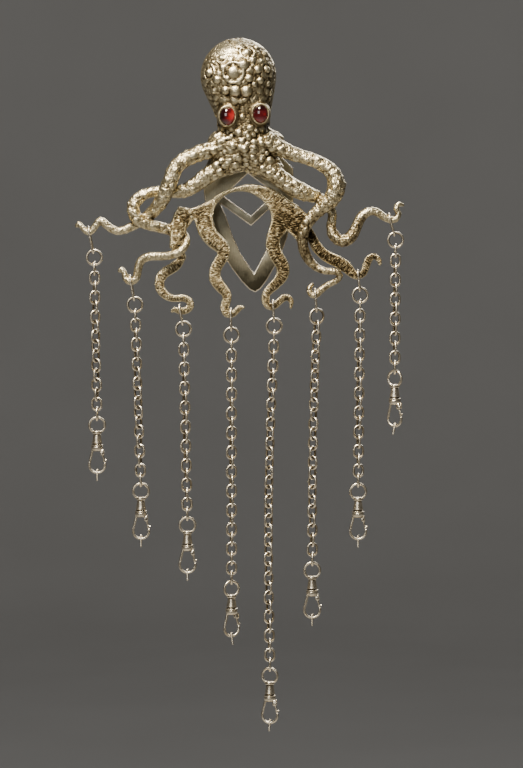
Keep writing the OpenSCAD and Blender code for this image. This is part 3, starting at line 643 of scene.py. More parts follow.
def paint_skin(mesh, points, depth, skin, height, rim):
    """Stores what the casting's shader needs at each point."""
    x, z = points[:, 0], points[:, 2]
    depth = depth * (1 - BARE_LIGHT * skin.bare) + BROW_DARK * skin.brow * (1 - skin.eyes)
    depth += EYE_DARK * skin.eyes
    # Painted shade: darker on the lower arms and more so on the right, where less light would fall
    depth += ramp(-z, *LOW_SHADE_SPAN) * ~skin.body * (LOW_PAINTED_SHADE + RIGHT_PAINTED_SHADE * ramp(x, *RIGHT_SHADE_SPAN))
    turn = np.arctan2(z - WEB_UP, x)
    flat = skin.flat_arm | skin.web
    scaly = (skin.round_arm | skin.body) * skin.facing * (1 - skin.bare)
    values = {
        "patina_and_shade": depth + FLAT_DARK * flat * (1 - rim),
        "along": np.where(skin.web, turn * WEB_R, skin.along + ARM_APART * skin.number),
        "outward": np.where(skin.web, np.hypot(x, z - WEB_UP), skin.across * skin.half_w),
        "crown": skin.crown,
        "hatch": flat * skin.facing * (1 - STROKES_ON_RIM * rim),
        "scaly": scaly * (1 - SCALES_ON_WART * ramp(height, *WART_SPAN)),
        "rim": np.maximum(rim, CROWN_RIM * skin.crown)}
    for name, value in values.items():
        mesh.attributes.new(name, "FLOAT", "POINT").data.foreach_set("value", value.astype(np.float32))


def octopus_skin():
    """The casting with its relief: warts on the head, body and round arms, and rims on the flat arms."""
    piece = new_object("octopus_casting", node_copy("octopus"))
    make_even(piece, SKIN_VOXEL)
    mesh = piece.data
    points = array_of(mesh.vertices, "co", 3)
    edges = array_of(mesh.edges, "vertices", 2, int)
    even_out(points, edges, points[:, 1] < BACK_Y - SMOOTH_ABOVE)
    for _ in range(FILLET_PASSES):
        soften_creases(mesh, points, edges)
    widen_arch(points)
    normals = set_points(mesh, points)
    skin = skin_regions(points, normals)
    mark_bare(points, skin)
    height = wart_heights(points, skin)
    rim = raised_rims(points, normals, edges, skin)
    raise_skin(points, normals, edges, skin, height, rim)
    normals = set_points(mesh, points)
    paint_skin(mesh, points, patina_and_shade(points, normals, edges), skin, height, rim)
    drop_crumbs(mesh)
    mesh.transform(Matrix.Scale(MM, 4))
    return finish_piece(piece, "cast_silver", ROOT, cast_silver(), "octopus")


def feed(tree, taker, values):
    """Gives a node's sockets their values, each a number or colour or another node's output."""
    for key, value in values.items():
        if isinstance(value, bpy.types.NodeSocket):
            tree.links.new(value, taker.inputs[key])
        else:
            taker.inputs[key].default_value = value


def node(tree, kind, values, **settings):
    """A shader node with its settings and the values of its sockets."""
    made = tree.nodes.new(kind)
    for key, value in settings.items():
        setattr(made, key, value)
    feed(tree, made, values)
    return made


def material(name):
    """A new material: itself, its node tree, its main shader and its object coordinates."""
    made = bpy.data.materials.new(name)
    made.use_nodes = True
    tree = made.node_tree
    return made, tree, tree.nodes["Principled BSDF"], node(tree, "ShaderNodeTexCoord", {}).outputs["Object"]


def calc(tree, operation, *values):
    """A Math node on sockets or numbers."""
    return node(tree, "ShaderNodeMath", dict(enumerate(values)), operation=operation).outputs[0]


def add_up(tree, total, *rows):
    """The total with [socket, weight] rows added to it."""
    for value, weight in rows:
        total = calc(tree, "MULTIPLY_ADD", value, weight, total)
    return total


def attribute(tree, name):
    return node(tree, "ShaderNodeAttribute", {}, attribute_name=name).outputs["Fac"]


def colour_ramp(tree, factor, stops):
    """A Color Ramp with [place, colour] stops."""
    made = node(tree, "ShaderNodeValToRGB", {0: factor})
    while len(made.color_ramp.elements) < len(stops):
        made.color_ramp.elements.new(1)
    for element, (position, colour) in zip(made.color_ramp.elements, stops):
        element.position = position
        element.color = (*colour, 1)
    return made.outputs[0]


def noise(tree, at, size, detail, roughness=0.6):
    """The value of a noise whose features are size millimetres wide."""
    values = {"Vector": at, "Scale": 1 / (size * MM), "Detail": detail, "Roughness": roughness}
    return node(tree, "ShaderNodeTexNoise", values).outputs["Fac"]


def even_noise(tree, at, size, detail):
    """A noise whose mean is 0."""
    return calc(tree, "SUBTRACT", noise(tree, at, size, detail), 0.5)


def stretched(tree, at, scale, turn=(0, 0, 0)):
    values = {"Vector": at, "Scale": scale, "Rotation": turn}
    return node(tree, "ShaderNodeMapping", values).outputs["Vector"]


def dress_metal(tree, shader, shade, stops, rough, relief, depth, strength):
    """Gives a metal its colour and roughness from its shade, and a relief of depth millimetres."""
    values = {"Height": relief, "Distance": depth * MM, "Strength": strength}
    feed(tree, shader, {
        "Base Color": colour_ramp(tree, shade, stops), "Metallic": 1,
        "Roughness": calc(tree, "MULTIPLY_ADD", shade, *rough),
        "Normal": node(tree, "ShaderNodeBump", values).outputs["Normal"]})


# Colours of silver, from deep recesses, dark with patina and painted shade, to rubbed ridges
DARK_PATINA_AND_SHADE = (0.020, 0.014, 0.006)
BROWN = (0.13, 0.094, 0.046)
SILVER = (0.37, 0.298, 0.168)
BRIGHT = (0.68, 0.59, 0.38)
# Width and length of the strokes in millimetres, their noise, and its gain and shift
STROKE_W = 0.42
STROKE_L = 1.6
STROKE_NOISE = {"Scale": 1, "Detail": 3, "Roughness": 0.55, "Distortion": 0.4}
STROKE_GAIN = (9, -4.7)


def short_strokes(tree):
    """Short irregular strokes across the flat arms and round the web's opening, from -1 to 1."""
    flow = node(tree, "ShaderNodeCombineXYZ", {
        "X": calc(tree, "DIVIDE", attribute(tree, "along"), STROKE_W),
        "Y": calc(tree, "DIVIDE", attribute(tree, "outward"), STROKE_L)})
    grain = node(tree, "ShaderNodeTexNoise", {"Vector": flow.outputs[0], **STROKE_NOISE})
    signed = calc(tree, "MULTIPLY_ADD", grain.outputs["Fac"], *STROKE_GAIN)
    signed = calc(tree, "MAXIMUM", calc(tree, "MINIMUM", signed, 1), -1)
    return calc(tree, "MULTIPLY", signed, attribute(tree, "hatch"))


# Small scales: [width in millimetres, weight], how soft they are, and their fall and height
SCALES = [[0.75, 0.6], [1.575, 0.5]]
SCALE_SOFT = 0.35
SCALE_FORM = (-3.2, 0.8)


def small_scales(tree, at):
    """Low rounded scales of two sizes on the round arms and the body, from about -1 to 1."""
    total = 0
    for size, weight in SCALES:
        values = {"Vector": at, "Scale": 1 / (size * MM), "Smoothness": SCALE_SOFT}
        cells = node(tree, "ShaderNodeTexVoronoi", values, feature="SMOOTH_F1")
        squared = calc(tree, "POWER", cells.outputs["Distance"], 2)
        total = add_up(tree, total, [calc(tree, "MULTIPLY_ADD", squared, *SCALE_FORM), weight])
    return calc(tree, "MULTIPLY", total, attribute(tree, "scaly"))


# Engraved curls: size in millimetres, detail and roughness of their noise, lines in it, and sharpness
CURL_NOISE = (2.4, 1, 0.4)
CURL_LINES = 14
CURL_SHARP = 3


def curls(tree, at):
    """Fine engraved curls on the bare patch of the crown: 1 along the lines."""
    swirl = calc(tree, "MULTIPLY", noise(tree, at, *CURL_NOISE), CURL_LINES)
    wave = calc(tree, "ABSOLUTE", calc(tree, "SINE", swirl))
    gap = calc(tree, "MINIMUM", calc(tree, "MULTIPLY", wave, CURL_SHARP), 1)
    return calc(tree, "MULTIPLY", calc(tree, "SUBTRACT", 1, gap), attribute(tree, "crown"))


# Cast silver: size in millimetres and detail of its noises, and the weights in its relief and shade
SAND = (0.55, 3)
CAST_BLOTCH = (5, 3)
STROKES_IN, SCALES_IN, SAND_IN, CURLS_IN = 0.62, 0.55, 0.7, -1
RELIEF_SHADE, CAST_BLOTCH_SHADE, RIM_SHADE = -0.5, 0.3, -0.3
CAST_STOPS = [[0.14, BRIGHT], [0.42, SILVER], [0.68, BROWN], [0.95, DARK_PATINA_AND_SHADE]]
# Growth of a metal's roughness with its shade, and its least; height and strength of its relief
CAST_ROUGH = (0.2, 0.33)
CAST_BUMP = (0.2, 1)


def cast_silver():
    """Cast silver with relief too fine for the mesh: scales, strokes, curls and a sandy grain. It is dark
    in the recesses and rubbed bright on the ridges."""
    made, tree, shader, at = material("cast_silver")
    relief = add_up(
        tree, 0, [short_strokes(tree), STROKES_IN], [small_scales(tree, at), SCALES_IN],
        [even_noise(tree, at, *SAND), SAND_IN], [curls(tree, at), CURLS_IN])
    # The shade starts from the patina and painted shade stored at each point
    shade = add_up(
        tree, attribute(tree, "patina_and_shade"), [relief, RELIEF_SHADE],
        [even_noise(tree, at, *CAST_BLOTCH), CAST_BLOTCH_SHADE], [attribute(tree, "rim"), RIM_SHADE])
    dress_metal(tree, shader, shade, CAST_STOPS, CAST_ROUGH, relief, *CAST_BUMP)
    return made


# Sheet silver: its brushing, its noises, their weights, and the painted shade that darkens its tip, with
# heights in metres
BRUSHED = (1, 1, 0.06)
STREAKS = (0.25, 3)
SHEET_BLOTCH = (7, 4)
STREAKS_IN, SHEET_BLOTCH_IN = 0.25, 0.75
TIP_PAINTED_SHADE = {"From Min": -0.062, "From Max": -0.077, "To Min": 0, "To Max": 0.7}
SHEET_STOPS = [[0.3, (0.5, 0.46, 0.33)], [0.62, (0.24, 0.215, 0.15)], [0.95, (0.05, 0.044, 0.028)]]
SHEET_ROUGH = (0.25, 0.36)
SHEET_BUMP = (0.02, 0.6)


def sheet_silver():
    """Smooth sheet silver: brushed along its length, mottled grey, and with painted shade that darkens it
    towards its tip.
    """
    made, tree, shader, at = material("sheet_silver")
    streaks = noise(tree, stretched(tree, at, BRUSHED), *STREAKS)
    up = node(tree, "ShaderNodeSeparateXYZ", {0: at}).outputs["Z"]
    # Painted shade: darker towards the tip, where the plate would lie in shadow
    tip = node(tree, "ShaderNodeMapRange", {"Value": up, **TIP_PAINTED_SHADE}).outputs[0]
    shade = add_up(tree, tip, [streaks, STREAKS_IN], [noise(tree, at, *SHEET_BLOTCH), SHEET_BLOTCH_IN])
    dress_metal(tree, shader, shade, SHEET_STOPS, SHEET_ROUGH, streaks, *SHEET_BUMP)
    return made


# Drawn silver: its colours, the scratches' stretch and turn, its noises and their weights
WIRE_BRIGHT = (0.97, 0.86, 0.66)
WIRE_SILVER = (0.38, 0.31, 0.2)
DRAWN = (1, 1, 0.15)
DRAWN_TURN = (0.3, 0.5, 0)
SCRATCHES = (0.1, 3)
DENTS = (1.4, 2)
WIRE_BLOTCH = (2.6, 3)
GRAIN_DETAIL = 4
BLOTCH_IN, GRAIN_IN, SCRATCHES_IN = 0.6, 0.6, 0.35
WIRE_STOPS = [[0.04, WIRE_BRIGHT], [0.32, WIRE_SILVER], [0.56, BROWN], [0.84, DARK_PATINA_AND_SHADE]]
WIRE_ROUGH = (0.25, 0.27)
WIRE_BUMP = (0.1, 0.8)


def wire_silver(name, grain_size):
    """Drawn or turned silver with fine scratches and dents, worn bright outside, and darkened by tarnish and
    painted shade where it faces its neighbours."""
    made, tree, shader, at = material(name)
    scratches = [even_noise(tree, stretched(tree, at, DRAWN, DRAWN_TURN), *SCRATCHES), SCRATCHES_IN]
    grain = [even_noise(tree, at, grain_size, GRAIN_DETAIL), GRAIN_IN]
    blotch = [even_noise(tree, at, *WIRE_BLOTCH), BLOTCH_IN]
    shade = add_up(tree, attribute(tree, "patina_and_shade"), blotch, grain, scratches)
    relief = add_up(tree, even_noise(tree, at, *DENTS), grain, scratches)
    dress_metal(tree, shader, shade, WIRE_STOPS, WIRE_ROUGH, relief, *WIRE_BUMP)
    return made


# Garnet: its clouds' size in millimetres and detail, their weight, its colours, which run up to the bright
# red of the painted glow, and its gloss
CLOUDS = (2.5, 2)
CLOUDS_IN = 0.5
GARNET_STOPS = [[0.15, (0.008, 0.001, 0.001)], [0.5, (0.06, 0.003, 0.004)], [0.8, (0.38, 0.018, 0.016)],
                [1, (0.8, 0.09, 0.07)]]
GARNET_GLOSS = {"Roughness": 0.06, "IOR": 1.76}


def garnet():
    """A dark red cabochon with a painted glow: its base colour is brighter red towards the lower right,
    standing in for light shining through the stone.
    """
    made, tree, shader, at = material("garnet")
    painted_glow = add_up(tree, attribute(tree, "painted_glow"), [even_noise(tree, at, *CLOUDS), CLOUDS_IN])
    feed(tree, shader, {"Base Color": colour_ramp(tree, painted_glow, GARNET_STOPS), **GARNET_GLOSS})
    return made


def finish_piece(piece, name_of_slot, body, surface, *nodes):
    """Gives a piece its material and its body, and hides the CAD nodes that it stands for."""
    piece.data.materials.clear()
    piece.data.materials.append(surface)
    piece.data.shade_smooth()
    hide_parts(*nodes)
    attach(piece, body)
    return piece


def mesh_from(bm, name):
    """Turns a bmesh into a mesh whose faces look outward."""
    bmesh.ops.recalc_face_normals(bm, faces=bm.faces)
    mesh = bpy.data.meshes.new(name)
    bm.to_mesh(mesh)
    bm.free()
    return mesh


def piece_from(bm, name, name_of_slot, body, surface, *nodes, where=Matrix()):
    """Turns a bmesh into a finished piece."""
    mesh = mesh_from(bm, name)
    mesh.transform(where)
    return finish_piece(new_object(name, mesh), name_of_slot, body, surface, *nodes)


def new_form(value_name="patina_and_shade"):
    """An empty form with a layer that holds a value for the shader at each of its points."""
    bm = bmesh.new()
    bm.verts.layers.float.new(value_name)
    return bm


def add_vertex(bm, spot, value):
    made = bm.verts.new(spot)
    made[bm.verts.layers.float[0]] = value
    return made


def circle(sides):
    """Angles all the way round."""
    return [2 * math.pi * j / sides for j in range(sides)]


def join_rings(bm, rings, closed=False):
    """Joins rings of points with faces. A ring of one point is a pole."""
    for a, b in zip(rings, rings[1:] + rings[:1] if closed else rings[1:]):
        size = max(len(a), len(b))
        for j in range(size):
            m = (j + 1) % size
            if len(a) == 1:
                bm.faces.new((a[0], b[m], b[j]))
            elif len(b) == 1:
                bm.faces.new((a[j], a[m], b[0]))
            else:
                bm.faces.new((a[j], a[m], b[m], b[j]))


# Distance in metres at which points are one
SAME = 1e-6


def solids_of(node_name):
    """The loose solids of a CAD node, each as an array of its points in millimetres."""
    bm = bmesh.new()
    bm.from_mesh(frame["nodes"][node_name].data)
    bmesh.ops.remove_doubles(bm, verts=bm.verts, dist=SAME)
    found = [np.array([vertex.co / MM for vertex in part]) for part in loose_parts(bm)]
    bm.free()
    return sorted(found, key=lambda solid: -solid[:, 2].mean())


PATH_STEPS = 44
WIRE_SIDES = 16
# A wire oval's thicker seam and uneven wire, as shares of its radius
SEAM = 0.05
UNEVEN = 0.012
# Darkness of a wire outside, the tarnish and painted shade that its inner side adds where it faces its
# neighbours, and how steeply, and the shares at sides and ends
WIRE_DARK, INNER_TARNISH_AND_SHADE, INNER_POWER = 0.06, 0.8, 3
SIDE_SHARE, END_SHARE = 0.6, 0.4


def wire_path(length, width):
    """Points and outward directions round an oval with the given length and width of its centre line."""
    r = width / 2
    straight = max(length - width, 0)
    half = straight + math.pi * r
    made = []
    for k in range(PATH_STEPS):
        run = 2 * half * k / PATH_STEPS
        side = 1 if run < half else -1
        run %= half
        t = max(run - straight, 0) / r
        outward = (side * math.cos(t), side * math.sin(t))
        up = side * (min(run, straight) - straight / 2)
        made.append(((r * outward[0], up + r * outward[1]), outward))
    return made


def add_wire_oval(bm, solid, rng):
    """Adds a soldered wire oval that fills one solid's own size and place."""
    centre = (solid.max(axis=0) + solid.min(axis=0)) / 2
    across, width_axis, length_axis = np.linalg.eigh(np.cov((solid - centre).T))[1].T
    if length_axis[2] < 0:
        length_axis = -length_axis
    wire, width, length = (np.ptp((solid - centre) @ axis) for axis in (across, width_axis, length_axis))
    seam = int(rng.integers(PATH_STEPS))
    rings = []
    for k, ((u, v), (ou, ov)) in enumerate(wire_path(length - wire, width - wire)):
        gap = min(abs(k - seam), PATH_STEPS - abs(k - seam))
        r = wire / 2 * (1 + SEAM * math.exp(-gap * gap / 2) + rng.uniform(-UNEVEN, UNEVEN))
        middle = centre + width_axis * u + length_axis * v
        outward = width_axis * ou + length_axis * ov
        ring = []
        for angle in circle(WIRE_SIDES):
            point = middle + outward * (r * math.cos(angle)) + across * (r * math.sin(angle))
            inner = (1 - math.cos(angle)) / 2
            # Tarnish and painted shade on the inner side, where the wire faces its neighbours
            dark = WIRE_DARK + INNER_TARNISH_AND_SHADE * inner ** INNER_POWER * (SIDE_SHARE + END_SHARE * abs(ov))
            ring.append(add_vertex(bm, Vector(point * MM), dark))
        rings.append(ring)
    join_rings(bm, rings, closed=True)


def wire_piece(name, node_name, surface):
    """A chain, ring or loop as soldered wire ovals, one in the place of each solid of the node."""
    bm = new_form()
    rng = np.random.default_rng(sum(ord(c) for c in node_name))
    for solid in solids_of(node_name):
        add_wire_oval(bm, solid, rng)
    piece_from(bm, name, "silver_wire", ROOT, surface, node_name)


# The belt hook's bevel in millimetres, its segments and its least angle in degrees, and where points are
# one and faces are flat, in millimetres and radians
HOOK_BEVEL = 0.35
BEVEL_SEGMENTS = 2
BEVEL_FROM = 35
HOOK_SAME = 0.001
HOOK_FLAT = 0.01
# Grain of the polished edges, the wires and the clips, in millimetres
EDGE_GRAIN, WIRE_GRAIN, CLIP_GRAIN = 0.6, 0.5, 0.4


def hook_plate():
    """The belt hook with bevelled, polished edges."""
    mesh = node_copy("belt_hook")
    bm = bmesh.new()
    bm.from_mesh(mesh)
    bmesh.ops.remove_doubles(bm, verts=bm.verts, dist=HOOK_SAME)
    bmesh.ops.dissolve_limit(bm, angle_limit=HOOK_FLAT, verts=bm.verts, edges=bm.edges)
    least = math.radians(BEVEL_FROM)
    sharp = [edge for edge in bm.edges if len(edge.link_faces) == 2 and edge.calc_face_angle() > least]
    bevel = bmesh.ops.bevel(
        bm, geom=sharp, offset=HOOK_BEVEL, segments=BEVEL_SEGMENTS, profile=0.5, affect="EDGES")
    for face in bevel["faces"]:
        face.material_index = 1
    bmesh.ops.triangulate(bm, faces=[face for face in bm.faces if len(face.verts) > 4])
    polished = [face.material_index for face in bm.faces]
    bm.to_mesh(mesh)
    bm.free()
    mesh.transform(Matrix.Scale(MM, 4))
    finish_piece(new_object("belt_hook_plate", mesh), "sheet_silver", ROOT, sheet_silver(), "belt_hook")
    mesh.materials.append(wire_silver("polished_edge", EDGE_GRAIN))
    mesh.polygons.foreach_set("material_index", polished)


# A stone's rings and their points, the height of its girdle, and its back's size and chamfer
STONE_RINGS = 14
STONE_SIDES = 48
GIRDLE = 0.7
STONE_BACK = 0.94
STONE_CHAMFER = 0.12


def eye_form(node_name):
    """The centre, half width and half height of an eye's stone, and its back and front, in millimetres."""
    low, high = (np.array(corner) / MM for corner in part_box(node_name))
    return (low + high) / 2, (high[0] - low[0]) / 2, (high[2] - low[2]) / 2, high[1], low[1]


def stone(node_name, surface, painted_glow):
    """A smooth cabochon in the place of a faceted stone: a short girdle under a high dome. Its painted glow,
    a painted light in the base colour, is given at the centre, then as its growth to the right and downward."""
    centre, half_w, half_h, back, front = eye_form(node_name)
    bm = new_form("painted_glow")

    def vertex(right, up, y):
        spot = ((centre[0] + half_w * right) * MM, y * MM, (centre[2] + half_h * up) * MM)
        # Painted glow: the stone's colour is painted brighter towards the lower right, where light through
        # it would shine
        return add_vertex(bm, spot, painted_glow[0] + painted_glow[1] * right - painted_glow[2] * up)

    girdle = back - GIRDLE
    levels = [(STONE_BACK, back), (1, back - STONE_CHAMFER), (1, girdle)]
    for k in range(1, STONE_RINGS):
        angle = math.pi / 2 * k / STONE_RINGS
        levels.append((math.cos(angle), girdle - (girdle - front) * math.sin(angle)))
    rings = [[vertex(share * math.cos(t), share * math.sin(t), y) for t in circle(STONE_SIDES)]
             for share, y in levels]
    join_rings(bm, [[vertex(0, 0, back)]] + rings + [[vertex(0, 0, front)]])
    piece_from(bm, node_name + "_stone", "garnet", ROOT, surface, node_name)


# Section of a bezel in millimetres: [outward from the stone, back from the bezel's front, darkness]
BEZEL = [[-0.06, 0.54, 0.8], [-0.06, 0.14, 0.5], [0.02, 0.03, 0.1], [0.16, 0, 0], [0.3, 0.06, 0.05],
         [0.42, 0.3, 0.3], [0.42, 0.54, 0.8]]
# How far it stands before the girdle, and the number, depth, points and inner edge of its beads
BEZEL_PROUD = 0.14
BEADS = 44
BEAD_R = 0.035
BEAD_SIDES = 6
BEAD_FROM = 0.1


def bezel(node_name, surface):
    """The thin rim that is rubbed over a stone's edge, with fine milled beads round it."""
    centre, half_w, half_h, back, _ = eye_form(node_name)
    front = back - GIRDLE - BEZEL_PROUD
    bm = new_form()
    rings = []
    for t in circle(BEADS * BEAD_SIDES):
        bead = BEAD_R * math.sin(BEADS * t)
        ring = []
        for grow, behind, dark in BEZEL:
            reach = grow + (bead if grow > BEAD_FROM else 0)
            x, z = centre[0] + (half_w + reach) * math.cos(t), centre[2] + (half_h + reach) * math.sin(t)
            ring.append(add_vertex(bm, (x * MM, (front + behind) * MM, z * MM), dark))
        rings.append(ring)
    join_rings(bm, rings, closed=True)
    piece_from(bm, node_name + "_bezel", "cast_silver", ROOT, surface)


TURNED_SIDES = 36


def turned(bm, outline, where=Matrix(), hollow=False):
    """Adds a turned form round the local Z axis from [radius, height, darkness] rows."""
    rings = []
    for radius, height, dark in outline:
        spots = [Vector((radius * math.cos(t), radius * math.sin(t), height))
                 for t in circle(TURNED_SIDES if radius else 1)]
        rings.append([add_vertex(bm, where @ spot, dark) for spot in spots])
    join_rings(bm, rings, closed=hollow)


# Length of a polished corner, and the most that it takes of a side
POLISH = 0.05
MOST_POLISH = 0.4


def softened(outline):
    """Cuts the corners of an outline, as a polishing wheel does."""
    made = [outline[0]]
    for before, here, after in zip(outline, outline[1:], outline[2:]):
        for other in (before, after):
            step = math.hypot(other[0] - here[0], other[1] - here[1])
            share = min(POLISH / max(step, TINY), MOST_POLISH)
            made.append([a + (b - a) * share for a, b in zip(here[:2], other)] + here[2:])
    made.append(outline[-1])
    return made


# The clips' wire: its radius, its darkness, the tarnish and painted shade that its inner side adds, and its
# rounded ends
CLIP_R = 0.425
ROD_DARK = 0.05
ROD_INNER_TARNISH_AND_SHADE = 0.25
CAP_ANGLES = (0, 0.5, 1)
CAP_LENGTH = 0.8


def round_rod(bm, points, closed=False):
    """Adds a round wire along points that lie in one XZ plane, with rounded ends."""
    points = [Vector(point) for point in points]
    across = Vector((0, 1, 0))
    last = len(points) - 1
    rings = []
    for k, point in enumerate(points):
        before = points[k - 1] if closed or k > 0 else point
        after = points[(k + 1) % len(points)] if closed or k < last else point
        ahead = (after - before).normalized()
        side = ahead.cross(across).normalized()
        caps = [(0, 1)]
        if not closed and k == 0:
            caps = [(-math.cos(t), math.sin(t)) for t in CAP_ANGLES] + caps
        elif not closed and k == last:
            caps += [(math.cos(t), math.sin(t)) for t in reversed(CAP_ANGLES)]
        for shift, share in caps:
            middle = point + ahead * (shift * CLIP_R * CAP_LENGTH)
            if share == 0:
                rings.append([add_vertex(bm, middle, ROD_DARK)])
                continue
            ring = []
            for t in circle(WIRE_SIDES):
                spot = middle + (side * math.cos(t) + across * math.sin(t)) * (CLIP_R * share)
                # Tarnish and painted shade on the wire's inner side
                dark = ROD_DARK + ROD_INNER_TARNISH_AND_SHADE * max(-math.cos(t), 0) ** 2
                ring.append(add_vertex(bm, spot, dark))
            rings.append(ring)
    join_rings(bm, rings, closed)


def arc_points(radius, start, end, steps, up=0):
    """Points of an arc in the XZ plane round a centre at height up, angles in degrees from the X axis."""
    turns = [math.radians(start + (end - start) * k / steps) for k in range(steps + 1)]
    return [(radius * math.cos(t), 0, up + radius * math.sin(t)) for t in turns]


# A swivel clip in millimetres, down from the centre of its ring. The outlines of turned forms are [radius,
# height, darkness]. First the ring, its washer and its stud.
EYE_RING_R = 2.8
RING_STEPS = 56
WASHER = [[0, -2.08, 0.4], [1.4, -2.08, 0.3], [1.62, -2.14, 0.05], [1.75, -2.3, 0], [1.75, -2.5, 0.05],
          [1.66, -2.62, 0.5], [1.66, -2.7, 0.5], [1.75, -2.82, 0.05], [1.75, -3.02, 0], [1.6, -3.19, 0.1],
          [1.4, -3.22, 0.5], [0, -3.22, 0.6]]
STUD = [[0, -3.1, 0.6], [0.55, -3.1, 0.6], [0.55, -8.68, 0.7], [0.86, -8.68, 0.6], [0.95, -8.76, 0.3],
        [0.95, -8.98, 0.1], [0.82, -9.12, 0], [0.45, -9.17, 0], [0, -9.175, 0]]
# The barrel, whose outline is [share of its radius, share of its length, darkness], and its stepped bore
BARREL_R = 2.15
BARREL_TOP = 3.425
BARREL_L = 5.9
BARREL = [[0.6, 0, 0.3], [0.66, 0.06, 0.05], [0.68, 0.14, 0.1], [0.74, 0.3, 0.1], [0.8, 0.42, 0.1],
          [0.88, 0.51, 0.02], [0.88, 0.535, 0.1], [0.76, 0.555, 0.85], [0.76, 0.605, 0.85],
          [0.96, 0.62, 0.1], [1, 0.635, 0], [1, 0.69, 0], [0.95, 0.705, 0.8], [0.95, 0.725, 0.8],
          [1, 0.74, 0.05], [1, 0.8, 0], [0.98, 0.86, 0.05], [0.93, 0.92, 0.1], [0.86, 0.97, 0.2],
          [0.8, 1, 0.4]]
BORE = [[1.0, -9.325, 0.7], [1.0, -8.475, 0.9], [0.6, -8.475, 0.9], [0.6, -3.425, 0.9]]
# The hook: its centre and radius, the start of its straight side, that side's lean and the bend's end in
# degrees, and the points along the side
HOOK_Z = 14.425
HOOK_R = 2.85
HOOK_SIDE = (-1.575, 0, -8.825)
SIDE_ANGLE = 13.63
HOOK_TIP = 10
SIDE_STEPS = 8
# The tail and its lean in degrees
TAIL = [[0, -3.08, 0], [0.18, -3.06, 0], [0.28, -2.96, 0], [0.325, -2.8, 0.02], [0.4, -1, 0.1],
        [0.46, 0.6, 0.05], [0.485, 1.1, 0], [0.44, 1.24, 0], [0.28, 1.31, 0], [0, 1.32, 0]]
TAIL_LEAN = 20
# The gate's pin: its place and its outline
PIN = (1.9144, 10.225)
PIN_OUTLINE = [[0, -0.95, 0], [0.2, -0.95, 0], [0.3, -0.87, 0.1], [0.3, 0.87, 0.1], [0.2, 0.95, 0],
               [0, 0.95, 0]]
# The ears: radius, angles and steps of the round end, the gate's side with its corner, the top, and the
# faces: [share of the size, distance from the middle, darkness]. Above EAR_ROOT they keep their width.
EAR_R = 0.73
EAR_BEND = (190, 400, 21)
EAR_SIDE = 0.438
EAR_CORNER = 0.6
EAR_TOP = 1.5
EAR_FACES = [[0.9, 0.5, 0.3], [1, 0.56, 0.05], [1, 0.89, 0], [0.9, 0.95, 0.05]]
EAR_ROOT = 1
# The gate: its knuckle, its lever, and its nub and the nub's place on the lever
KNUCKLE = [[0.35, -0.4, 0.7], [0.65, -0.4, 0.2], [0.73, -0.32, 0.05], [0.73, 0.32, 0.05], [0.65, 0.4, 0.2],
           [0.35, 0.4, 0.7]]
LEVER = [[0, 0.42, 0.6], [0.36, 0.46, 0.4], [0.3384, 1.2, 0.1], [0.324, 2.2, 0.1], [0.36, 2.44618, 0.05],
         [0.36, 3.149, 0], [0.252, 3.299, 0], [0, 3.349, 0]]
NUB_Z = 2.74618
NUB = [[0, 0.15, 0.3], [0.36, 0.2, 0.2], [0.33, 0.45, 0.15], [0.29, 0.62, 0.05], [0.31, 0.74, 0],
       [0.28, 0.85, 0], [0.15, 0.9, 0], [0, 0.905, 0]]


def clip_place(n):
    """Where clip n's ring is at rest and how the clip is turned, from its two joints."""
    spots = {joint["name"]: joint["pos_m"] for joint in frame["joints"]}
    swivel, pin = Vector(spots[f"swivel_{n}"]), Vector(spots[f"gate_{n}"])
    turn = math.atan2(pin.y - swivel.y, pin.x - swivel.x)
    centre = Vector((swivel.x, swivel.y, pin.z + PIN[1] * MM))
    return Matrix.Translation(centre) @ Matrix.Rotation(turn, 4, "Z") @ Matrix.Scale(MM, 4)


def clip_part(bm, name, body, surface, node_name, n, shift=Matrix()):
    """Puts a part of clip n in its place."""
    where = clip_place(n) @ shift
    piece_from(bm, f"{name}_{n}", "clip_silver", body, surface, f"{node_name}_{n}", where=where)


def swivel_eye_piece(n, surface):
    """The ring, its washer and the riveted stud that clip n turns on."""
    bm = new_form()
    round_rod(bm, arc_points(EYE_RING_R, 0, 360, RING_STEPS)[:-1], closed=True)
    turned(bm, WASHER)
    turned(bm, STUD)
    clip_part(bm, "swivel_ring", ROOT, surface, "swivel_eye", n)


def ear_plate(bm, side):
    """One of the two ears that hold the gate's pin: a strip with a round end."""
    outline = [(-EAR_R, EAR_TOP), (-EAR_R, 0)]
    outline += [(x, z) for x, _, z in arc_points(EAR_R, *EAR_BEND)]
    outline += [(EAR_SIDE, EAR_CORNER), (EAR_SIDE, EAR_TOP)]
    rings = []
    for share, out, dark in EAR_FACES:
        spots = [(PIN[0] + x * share, side * out, z * (share if z < EAR_ROOT else 1) - PIN[1])
                 for x, z in outline]
        rings.append([add_vertex(bm, spot, dark) for spot in spots])
    join_rings(bm, rings)
    bm.faces.new(rings[0])
    bm.faces.new(rings[-1])


# A turn from the Z axis to the Y axis, and the move from the ring's centre to the gate's pin
SIDEWAYS = Matrix.Rotation(math.pi / 2, 4, "X")
TO_PIN = Matrix.Translation((PIN[0], 0, -PIN[1]))


